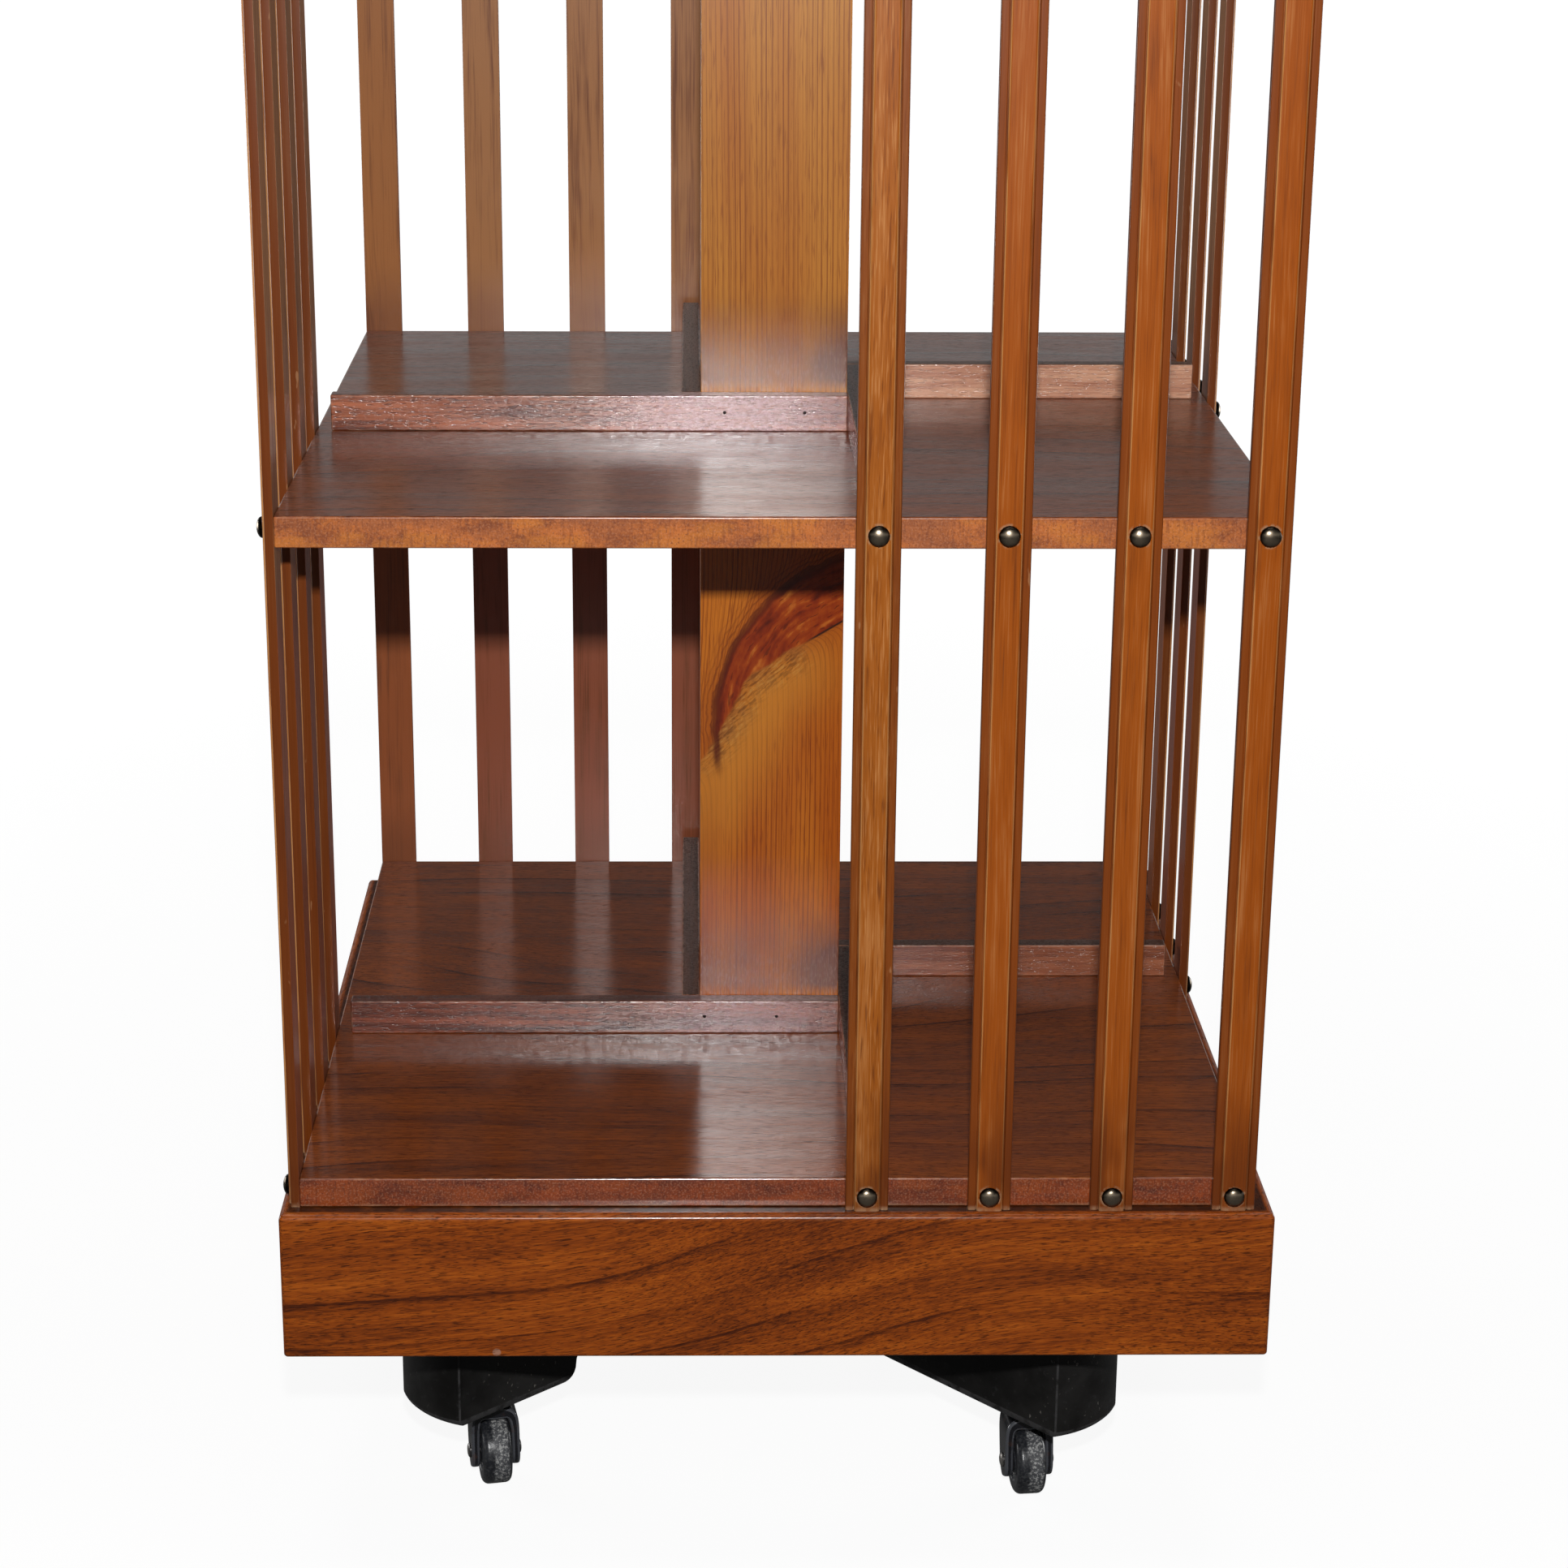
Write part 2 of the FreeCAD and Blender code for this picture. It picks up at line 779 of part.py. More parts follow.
arm_degs = {arm: first_arm_deg + arm_step_deg * number for number, arm in enumerate(arm_names)}
swivel_degs = {
    "front_right": front_right_swivel_deg,
    "back_right": back_right_swivel_deg,
    "back_left": back_left_swivel_deg,
    "front_left": front_left_swivel_deg,
}


def on_arm(shape, arm):
    """Return a copy of a caster's piece, set under the end of one arm of the cross."""
    copy = turned(shape, swivel_degs[arm])
    direction = math.radians(arm_degs[arm])
    copy.translate(Vector(caster_radius * math.cos(direction), caster_radius * math.sin(direction), 0))
    return turned(copy, cross_turn_deg)


def along_axle(shape):
    """Lay a shape that was turned about the Z axis along the caster's axle."""
    shape.rotate(CENTRE, Vector(0, 1, 0), 90)
    shape.translate(Vector(0, -caster_trail, wheel_radius))
    return shape


def caster_socket():
    """Return the socket let into the beam: a tube with a closed top and a flange against the beam."""
    flange = socket_flange_diameter / 2
    profile = [
        (socket_bore_radius, beam_bottom - socket_flange_thickness),
        (flange, beam_bottom - socket_flange_thickness),
        (flange, beam_bottom),
        (socket_outer_radius, beam_bottom),
        (socket_outer_radius, socket_top),
        (0, socket_top),
        (0, stem_top + stem_tip_gap),
        (socket_bore_radius, stem_top + stem_tip_gap),
    ]
    return turned_profile(profile)


def fork_front_outline():
    """Return the fork as seen along its wheel's way: a crown from which two arms bow out."""
    shoulder = (crown_bottom + wheel_radius) / 2
    bow = fork_crown_half_width + (fork_outside - fork_crown_half_width) * fork_bow_share
    low = wheel_radius - fork_arm_end_radius
    return outline([
        (wheel_inside, low),
        (fork_outside, low),
        (fork_outside, wheel_radius),
        ((bow, (shoulder + crown_bottom) / 2), (fork_crown_half_width, crown_top)),
        (-fork_crown_half_width, crown_top),
        ((-bow, (shoulder + crown_bottom) / 2), (-fork_outside, wheel_radius)),
        (-fork_outside, low),
        (-wheel_inside, low),
        (-wheel_inside, crown_bottom),
        (wheel_inside, crown_bottom),
    ], in_elevation)


def fork_side_outline():
    """Return the fork as seen along its axle: a crown over the stem, and arms rounded off at the axle."""
    axle = (-caster_trail, wheel_radius)
    end = fork_arm_end_radius
    return outline([
        (-fork_crown_half_length, crown_top),
        (-fork_crown_half_length, crown_bottom),
        (axle[0] - end, axle[1]),
        corner_arc(axle, end, 180, 360),
        (fork_crown_half_length, crown_bottom),
        (fork_crown_half_length, crown_top),
    ], in_side_view)


def caster_fork():
    """Return a fork with its stem, drilled for its axle."""
    front = fork_front_outline()
    front.translate(Vector(0, -wheel_diameter, 0))
    side = fork_side_outline()
    side.translate(Vector(-wheel_diameter, 0, 0))
    arms = front.extrude(Vector(0, 2 * wheel_diameter, 0))
    arms = arms.common(side.extrude(Vector(2 * wheel_diameter, 0, 0)))
    boss = rod(fork_boss_diameter / 2, crown_top, boss_top)
    stem = rod(stem_radius, crown_top, stem_top)
    hole = Part.makeCylinder(axle_hole_radius, 2 * wheel_diameter, Vector(0, 0, -wheel_diameter), UP)
    return arms.multiFuse([boss, stem]).removeSplitter().cut(along_axle(hole))


def caster_axle():
    """Return an axle with a low domed head outside each arm."""
    head = axle_head_diameter / 2
    end = fork_outside + axle_head_height
    half = [(axle_radius, fork_outside), (head, fork_outside), (axle_radius, end), (0, end)]
    mirrored = [(radius, -height) for radius, height in reversed(half)]
    return along_axle(turned_profile(mirrored + half))


def caster_wheel():
    """Return a wheel with rounded tread edges and a web set back between its hub and its rim."""
    hub = wheel_hub_diameter / 2
    rim = wheel_radius - wheel_rim_depth
    side = wheel_width / 2
    web = side - wheel_web_recess
    edge = wheel_edge_radius
    profile = [
        (axle_hole_radius, -side),
        (hub, -side),
        (hub, -web),
        (rim, -web),
        (rim, -side),
        (wheel_radius - edge, -side),
        corner_arc((wheel_radius - edge, edge - side), edge, -90, 0),
        (wheel_radius, side - edge),
        corner_arc((wheel_radius - edge, side - edge), edge, 0, 90),
        (rim, side),
        (rim, web),
        (hub, web),
        (hub, side),
        (axle_hole_radius, side),
    ]
    return along_axle(turned_profile(profile))


def make_casters():
    """Save the four casters: sockets as one group, and a fork, an axle and a wheel for each arm."""
    save("caster_sockets", [on_arm(caster_socket(), arm) for arm in arm_names])
    for arm in arm_names:
        save(f"caster_fork_{arm}", on_arm(caster_fork(), arm))
        save(f"caster_axle_{arm}", on_arm(caster_axle(), arm))
        save(f"caster_wheel_{arm}", on_arm(caster_wheel(), arm))


def main():
    """Make every piece of the bookcase."""
    os.makedirs("parts", exist_ok=True)
    make_cross()
    make_pole_nut()
    make_pole_flange()
    make_pole()
    make_casters()
    make_plinth_rails()
    make_glue_blocks()
    make_bottom_shelf()
    make_guide_bush()
    make_columns()
    make_book_stops()
    make_middle_shelf()
    make_case_top()
    make_thrust_cup()
    make_fitting_screws()
    make_slats()
    make_nails()
    make_top_board()
    save("top_board_screws", top_screws(screw))


main()
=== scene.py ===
import json
import logging
import math
from dataclasses import dataclass, field
from enum import Enum
from typing import Any, Iterable, Sequence

import bmesh
import bpy
from mathutils import Matrix, Vector


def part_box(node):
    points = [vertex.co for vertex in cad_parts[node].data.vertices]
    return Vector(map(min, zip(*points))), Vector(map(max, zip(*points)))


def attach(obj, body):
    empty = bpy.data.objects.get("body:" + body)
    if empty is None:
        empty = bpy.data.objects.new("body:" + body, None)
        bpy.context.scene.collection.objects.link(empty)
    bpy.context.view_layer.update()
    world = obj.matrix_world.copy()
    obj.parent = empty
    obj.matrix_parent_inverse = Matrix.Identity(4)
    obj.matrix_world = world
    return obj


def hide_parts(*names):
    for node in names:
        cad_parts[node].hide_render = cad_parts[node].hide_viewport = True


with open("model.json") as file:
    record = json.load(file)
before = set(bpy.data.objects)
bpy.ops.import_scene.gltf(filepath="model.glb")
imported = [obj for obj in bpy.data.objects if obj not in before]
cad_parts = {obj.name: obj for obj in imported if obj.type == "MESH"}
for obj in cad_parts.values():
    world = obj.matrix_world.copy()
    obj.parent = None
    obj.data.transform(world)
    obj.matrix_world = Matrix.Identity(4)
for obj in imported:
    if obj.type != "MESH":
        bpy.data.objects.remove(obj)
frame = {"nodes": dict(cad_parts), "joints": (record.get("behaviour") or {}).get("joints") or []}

log = logging.getLogger("bookcase")

Pair = tuple[float, float]
Triple = tuple[float, float, float]
Colour = tuple[float, float, float, float]
Material = bpy.types.Material
Mesh = bmesh.types.BMesh
Piece = bpy.types.Object
Socket = bpy.types.NodeSocket

MM = 0.001
SHELVES = ("bottom_shelf", "middle_shelf", "case_top")
SLATS_A_SIDE = 4
CROSS_TURN_DEG = -2.5
SEEDS = {"slats": 136, "nails": 11, "bush_screws": 5, "cup_screws": 6, "flange_screws": 7, "top_screws": 8}

# How far a cutting tool reaches past what it cuts.
OVERCUT = 10.0 * MM


class Side(Enum):
    """The case's sides, by quarter turns from the front."""

    FRONT = 0
    RIGHT = 1
    BACK = 2
    LEFT = 3

    @property
    def label(self) -> str:
        """The side's name in the names of its pieces."""
        return self.name.lower()

    @property
    def turn(self) -> Matrix:
        """The turn that takes a piece from the front to this side."""
        return Matrix.Rotation(math.radians(90 * self.value), 4, "Z")


class Tier(Enum):
    """The two tiers of books."""

    LOWER = "lower"
    UPPER = "upper"


class Grain(Enum):
    """The way that a board's grain runs."""

    ALONG_X = (0.0, 0.0, 0.0)
    ALONG_Y = (0.0, 0.0, -math.pi / 2)


def tint(red: int, green: int, blue: int) -> Colour:
    """Return a linear colour from a colour as a screen shows it.

    Args:
        red: Red from 0 to 255.
        green: Green from 0 to 255.
        blue: Blue from 0 to 255.

    Returns:
        The linear colour with full alpha.
    """
    def linear(value: int) -> float:
        """Return one part of the colour in linear light."""
        share = value / 255
        return share / 12.92 if share <= 0.04045 else ((share + 0.055) / 1.055) ** 2.4

    return (linear(red), linear(green), linear(blue), 1.0)


def toned(colour: Colour, red: float, green: float, blue: float) -> Colour:
    """Return a linear colour with each of its parts multiplied."""
    return (colour[0] * red, colour[1] * green, colour[2] * blue, 1.0)


# Node trees


@dataclass(frozen=True)
class Term:
    """A node's output, which adds, subtracts, multiplies and divides as a number does, by nodes."""

    nodes: "Nodes"
    socket: Socket

    def __add__(self, other: Any) -> "Term":
        """Return this plus another."""
        return self.nodes.math("ADD", self, other)

    def __radd__(self, other: Any) -> "Term":
        """Return another plus this."""
        return self.nodes.math("ADD", other, self)

    def __sub__(self, other: Any) -> "Term":
        """Return this less another."""
        return self.nodes.math("SUBTRACT", self, other)

    def __rsub__(self, other: Any) -> "Term":
        """Return another less this."""
        return self.nodes.math("SUBTRACT", other, self)

    def __mul__(self, other: Any) -> "Term":
        """Return this times another."""
        return self.nodes.math("MULTIPLY", self, other)

    def __truediv__(self, other: Any) -> "Term":
        """Return this divided by another."""
        return self.nodes.math("DIVIDE", self, other)

    def __abs__(self) -> "Term":
        """Return this without its sign."""
        return self.nodes.math("ABSOLUTE", self)


class Nodes:
    """A node tree, added to and wired up by short calls."""

    def __init__(self, tree: bpy.types.NodeTree) -> None:
        """Take on a tree and empty it."""
        self.tree = tree
        tree.nodes.clear()

    def feed(self, socket: Socket, value: Any) -> None:
        """Give an input a value, or link it to an output."""
        if isinstance(value, Term):
            value = value.socket
        if isinstance(value, bpy.types.NodeSocket):
            self.tree.links.new(value, socket)
        else:
            socket.default_value = value

    def add(self, kind: str, inputs: dict | None = None, **settings: Any) -> bpy.types.Node:
        """Add a node.

        Args:
            kind: The node's type.
            inputs: Values, terms or sockets for its inputs, by name or number.
            settings: Its other settings.

        Returns:
            The node.
        """
        node = self.tree.nodes.new(kind)
        for key, value in settings.items():
            setattr(node, key, value)
        for key, value in (inputs or {}).items():
            self.feed(node.inputs[key], value)
        return node

    def term(self, kind: str, inputs: dict | None = None, output: int | str = 0, **settings: Any) -> Term:
        """Add a node as add does, and return the output of this name or number."""
        return Term(self, self.add(kind, inputs, **settings).outputs[output])

    def math(self, operation: str, first: Any, second: Any = 0.0, third: Any = 0.0) -> Term:
        """Return the result of a sum on up to three numbers."""
        return self.term("ShaderNodeMath", {0: first, 1: second, 2: third}, operation=operation)

    def larger(self, first: Any, second: Any) -> Term:
        """Return the larger of two numbers."""
        return self.math("MAXIMUM", first, second)

    def distance(self, x: Term, y: Term) -> Term:
        """Return how far a point of a plane lies from its middle."""
        return self.math("SQRT", x * x + y * y)

    def rise(self, value: Any, low: float, high: float) -> Term:
        """Return 0 below one bound and 1 above the other, with a smooth rise between them."""
        inputs = {"Value": value, "From Min": low, "From Max": high}
        return self.term("ShaderNodeMapRange", inputs, "Result", interpolation_type="SMOOTHSTEP")

    def parts(self, vector: Any) -> list[Term]:
        """Return a vector's three numbers."""
        return [Term(self, part) for part in self.add("ShaderNodeSeparateXYZ", {0: vector}).outputs]

    def joined(self, x: Any = 0.0, y: Any = 0.0, z: Any = 0.0) -> Term:
        """Return a vector of three numbers."""
        return self.term("ShaderNodeCombineXYZ", {0: x, 1: y, 2: z})

    def ray(self, kind: str) -> Term:
        """Return 1 for light's rays of a kind and 0 for others."""
        return self.term("ShaderNodeLightPath", output=f"Is {kind} Ray")


# Materials


class Shade(Nodes):
    """The nodes of one material."""

    def __init__(self, name: str) -> None:
        """Start an empty material of this name."""
        self.material = bpy.data.materials.new(name)
        self.material.use_nodes = True
        super().__init__(self.material.node_tree)
        self.place = self.term("ShaderNodeTexCoord", output="Object")

    def turned(self, vector: Any, move: Triple = (0, 0, 0), turn: Triple = (0, 0, 0),
               scale: Triple = (1, 1, 1)) -> Term:
        """Return a vector that is scaled, turned and moved."""
        inputs = {"Vector": vector, "Location": move, "Rotation": turn, "Scale": scale}
        return self.term("ShaderNodeMapping", inputs)

    def noise(self, vector: Any, scale: float | Triple = 1.0, detail: float = 2.0, rough: float = 0.5,
              swirl: float = 0.0) -> Term:
        """Return soft noise from 0 to 1, of one scale or of one for each axis."""
        if isinstance(scale, tuple):
            vector, scale = self.turned(vector, scale=scale), 1.0
        inputs = {"Vector": vector, "Scale": scale, "Detail": detail, "Roughness": rough, "Distortion": swirl}
        return self.term("ShaderNodeTexNoise", inputs, "Fac")

    def mottled(self, scale: float | Triple, detail: float = 2.0, rough: float = 0.5) -> Term:
        """Return soft noise over the piece's own coordinates."""
        return self.noise(self.place, scale, detail, rough)

    def blend(self, share: Any, first: Any, second: Any) -> Term:
        """Return a mix of two colours."""
        return self.term("ShaderNodeMix", {0: share, 6: first, 7: second}, 2, data_type="RGBA")

    def scale_between(self, share: Any, stops: Sequence[tuple[float, Colour]]) -> Term:
        """Return a colour from a scale of colours.

        Args:
            share: The place on the scale, from 0 to 1.
            stops: The scale's places and their colours, in order.

        Returns:
            The colour.
        """
        node = self.add("ShaderNodeValToRGB", {0: share})
        bar = node.color_ramp.elements
        bar[0].position, bar[0].color = stops[0]
        bar[1].position, bar[1].color = stops[-1]
        for position, colour in stops[1:-1]:
            bar.new(position).color = colour
        return Term(self, node.outputs["Color"])

    def marked(self, name: str) -> Term:
        """Return a number that the mesh carries."""
        return self.term("ShaderNodeAttribute", output="Fac", attribute_name=name)

    def facing(self, axis: int, low: float, high: float) -> Term:
        """Return how much a surface faces along an axis, either way, as rise does between two bounds."""
        normal = self.term("ShaderNodeNewGeometry", output="True Normal")
        return self.rise(abs(self.parts(normal)[axis]), low, high)

    def relief(self, height: Any, depth: float, strength: float) -> Term:
        """Return a normal that shows small heights.

        Args:
            height: Height from 0 to 1.
            depth: The depth in metres that a height of 1 stands for.
            strength: How strongly it shows.

        Returns:
            The normal.
        """
        return self.term("ShaderNodeBump", {"Height": height, "Distance": depth, "Strength": strength})

    def surface(self, colour: Any, roughness: Any, normal: Term, **values: Any) -> Material:
        """Close the material with its surface.

        Args:
            colour: Base colour.
            roughness: Roughness.
            normal: The relief's normal.
            values: Other values of the surface, by its sockets' names.

        Returns:
            The material.
        """
        inputs: dict[str, Any] = {"Base Color": colour, "Roughness": roughness, "Normal": normal}
        inputs.update({key.replace("_", " "): value for key, value in values.items()})
        self.add("ShaderNodeOutputMaterial", {"Surface": self.term("ShaderNodeBsdfPrincipled", inputs)})
        return self.material

    def varnished(self, colour: Any, roughness: Any, normal: Term, film: Term, varnish: "Varnish",
                  bare: Term | None = None) -> Material:
        """Close the material with wood under a film of varnish.

        Args:
            colour: The wood's colour.
            roughness: The wood's roughness.
            normal: The wood's relief.
            film: The relief of the varnish.
            varnish: The film.
            bare: How much of the film is missing, from 0 to 1, where it differs from place to place.

        Returns:
            The material.
        """
        weight = varnish.weight if bare is None else (1.0 - bare) * varnish.weight
        return self.surface(colour, roughness, normal, Specular_IOR_Level=varnish.under, Coat_Weight=weight,
                            Coat_Roughness=varnish.roughness, Coat_IOR=varnish.ior, Coat_Normal=film)


@dataclass(frozen=True)
class Varnish:
    """The film over a wood: how much of it there is, how dull it is, and the gloss of the wood under it."""

    weight: float = 1.0
    roughness: float = 0.2
    ior: float = 1.55
    under: float = 0.06


@dataclass(frozen=True)
class Walnut:
    """Polished walnut: growth lines that sweep along the board, fine fibres, open pores and worn edges.

    Lengths are in metres. The slope leans the lines against the board's edge, and the growth is how many
    lines a metre of board crosses. A streak has a length and a width, the ledge an inner and an outer bound,
    and the plug of filler a place on the board's face.
    """

    name: str
    grain: Grain = Grain.ALONG_X
    seed: float = 0.0
    slope_deg: float = 0.0
    pale: Colour = tint(170, 88, 28)
    middle: Colour = tint(138, 66, 19)
    dark: Colour = tint(82, 34, 10)
    edge: Colour | None = None
    foot: float | None = None
    blotches: float = 1.0
    ledge: Pair | None = None
    plug: Pair | None = None
    plug_radius: float = 2.4 * MM
    worn: Colour = tint(196, 140, 96)
    sweep: float = 0.014
    streak: Pair = (0.16, 0.013)
    growth: float = 70.0
    figure: float = 1.0
    lines: float = 1.0
    roughness: float = 0.42
    varnish: Varnish = Varnish()

    def material(self) -> Material:
        """Return the material."""
        shade = Shade(self.name)
        along = shade.turned(shade.place, (self.seed, 0.37 * self.seed, 0.61 * self.seed), self.grain.value)
        along = shade.turned(along, turn=(0, math.radians(self.slope_deg), 0))
        x, y, z = shade.parts(along)
        broad = shade.noise(along, (2.4, 4, 4), 1.0)
        bend = (broad - 0.5) * (self.sweep * 4)
        bent = shade.joined(x, y + bend, z + bend)
        length, width = self.streak
        streaks = shade.noise(bent, (1 / length, 1 / width, 1 / width), 3, 0.55)
        fibres = shade.noise(bent, (28, 760, 760), 3, 0.6)
        fine = shade.noise(bent, (110, 2600, 2600), 1)
        tone = (streaks - 0.5) * (1.15 * self.figure) + (fibres - 0.5) * 1.1
        tone = tone + (fine - 0.5) * 0.7
        tone = tone - self.growth_lines(shade, x, y, z, bend) + 0.53
        colour = shade.scale_between(tone, [(0.05, self.dark), (0.5, self.middle), (0.95, self.pale)])
        for part, dress in ((self.edge, self.with_edges), (self.ledge, self.with_ledge), (self.plug, self.with_plug)):
            if part is not None:
                colour = dress(shade, colour)
        pores = shade.noise(bent, (150, 2100, 2100), 1.5, 0.6)
        pores = shade.rise(pores, 0.55, 0.64)
        if self.edge is not None:
            pores = pores * shade.facing(2, 0.2, 0.6)
        colour = shade.blend(pores * 0.7, colour, tint(42, 16, 6))
        rubbed = shade.rise(shade.mottled(150, 3, 0.7), 0.5, 0.66)
        rubbed = rubbed * shade.marked("arris")
        colour = shade.blend(rubbed * 0.3, colour, self.worn)
        dull = shade.mottled(16, 3)
        roughness = self.roughness + (dull - 0.5) * 0.16
        roughness = roughness + pores * 0.22
        height = fibres * 0.35 - pores
        normal = shade.relief(height, 0.00009, 0.7)
        film = shade.relief(dull * 0.6 + pores * -0.15, 0.00006, 0.6)
        bare = shade.rise(fibres * 0.6 + streaks * 0.4, 0.4, 0.62) * 0.34
        bare = bare + pores * 0.3
        return shade.varnished(colour, roughness, normal, film, self.varnish, bare)

    def growth_lines(self, shade: Shade, x: Term, y: Term, z: Term, bend: Term) -> Term:
        """Return the dark of the growth lines, which deepens slowly and ends at once.

        Args:
            shade: The material's nodes.
            x: Distance along the grain.
            y: Distance across it.
            z: Distance across it, the other way.
            bend: How far the lines are swept aside.

        Returns:
            The depth, from 0.
        """
        uneven = shade.noise(shade.joined(x * 1.8, y * 12, z * 12), 1.0, 2)
        field_at = (y + bend) * 0.55 + (z + bend)
        field_at = field_at + uneven * 0.02
        layer = shade.math("FRACT", field_at * self.growth)
        slow = shade.rise(layer, 0.35, 0.97) * (0.2 * self.lines)
        line = shade.rise(layer, 0.9, 0.97) * shade.rise(layer, 1.0, 0.98)
        patchy = shade.rise(shade.noise(shade.joined(x * 5, y * 24, z * 24), 1.0, 1), 0.42, 0.62)
        return slow * (0.35 + patchy * 0.65) + line * patchy * (0.42 * self.lines)

    def with_edges(self, shade: Shade, colour: Term) -> Term:
        """Return the colour with the board's mottled edges.

        Args:
            shade: The material's nodes.
            colour: The colour of the board's faces.

        Returns:
            The colour of all its sides.
        """
        dim = toned(self.edge, 0.3, 0.28, 0.6)
        mottle = shade.mottled((520, 520, 700), 3, 0.7)
        patch = shade.mottled((34, 34, 90), 4, 0.65)
        share = mottle * 0.45 + patch * 0.75
        side = shade.blend(shade.rise(share, 0.44, 0.8) * self.blotches, self.edge, dim)
        golden = toned(self.edge, 1.08, 1.22, 0.8)
        dusky = toned(self.edge, 0.6, 0.66, 1.15)
        hue = shade.noise(shade.turned(shade.place, (0.7, 0.1, 0.4), scale=(26, 26, 60)), detail=3, rough=0.6)
        side = shade.blend(shade.rise(hue, 0.5, 0.62) * 0.5, side, golden)
        side = shade.blend(shade.rise(hue, 0.5, 0.38) * 0.5, side, dusky)
        ticks = shade.mottled((620, 620, 130), 2, 0.6)
        side = shade.blend(shade.rise(ticks, 0.5, 0.66) * 0.4, side, dim)
        specks = shade.rise(shade.mottled(900, 2), 0.58, 0.66)
        side = shade.blend(specks * 0.6, side, dim)
        glints = shade.rise(shade.noise(shade.turned(shade.place, (0.3, 0.2, 0.1)), 1000, 2), 0.5, 0.64)
        side = shade.blend(glints * 0.2, side, tint(226, 164, 126))
        if self.foot is not None:
            height = shade.parts(shade.place)[2]
            left = shade.rise(height, self.foot + 2.2 * MM, self.foot + 0.6 * MM) * shade.rise(patch, 0.36, 0.6)
            side = shade.blend(left * 0.55, side, tint(172, 134, 104))
        return shade.blend(1.0 - shade.facing(2, 0.2, 0.6), colour, side)

    def with_ledge(self, shade: Shade, colour: Term) -> Term:
        """Return the colour with dark dirt and painted shade on the ledge behind the rounded edge.

        Args:
            shade: The material's nodes.
            colour: The colour of the board's faces.

        Returns:
            The colour of all its sides.
        """
        x, y, _ = shade.parts(shade.place)
        reach = shade.larger(abs(x), abs(y))
        # Dirt and painted shade: the up-facing ledge behind the rounded edge is painted dark.
        ledge_dirt_and_shade = shade.rise(reach, self.ledge[1], self.ledge[0]) * shade.facing(2, 0.6, 0.9)
        patch = shade.rise(shade.mottled(120, 3), 0.2, 0.55)
        return shade.blend(ledge_dirt_and_shade * (0.45 + patch * 0.45), colour, tint(40, 20, 10))

    def with_plug(self, shade: Shade, colour: Term) -> Term:
        """Return the colour with pale filler in a nail hole of the board's face.

        Args:
            shade: The material's nodes.
            colour: The colour of the board's faces.

        Returns:
            The colour with the filler.
        """
        x, _, z = shade.parts(shade.place)
        side, up = x - self.plug[0], z - self.plug[1]
        away = shade.distance(side, up)
        filler = shade.rise(away, self.plug_radius, 0.75 * self.plug_radius) * shade.facing(1, 0.3, 0.6)
        uneven = shade.rise(shade.mottled(500, 2), 0.2, 0.6)
        return shade.blend(filler * (0.45 + uneven * 0.3), colour, tint(176, 134, 112))


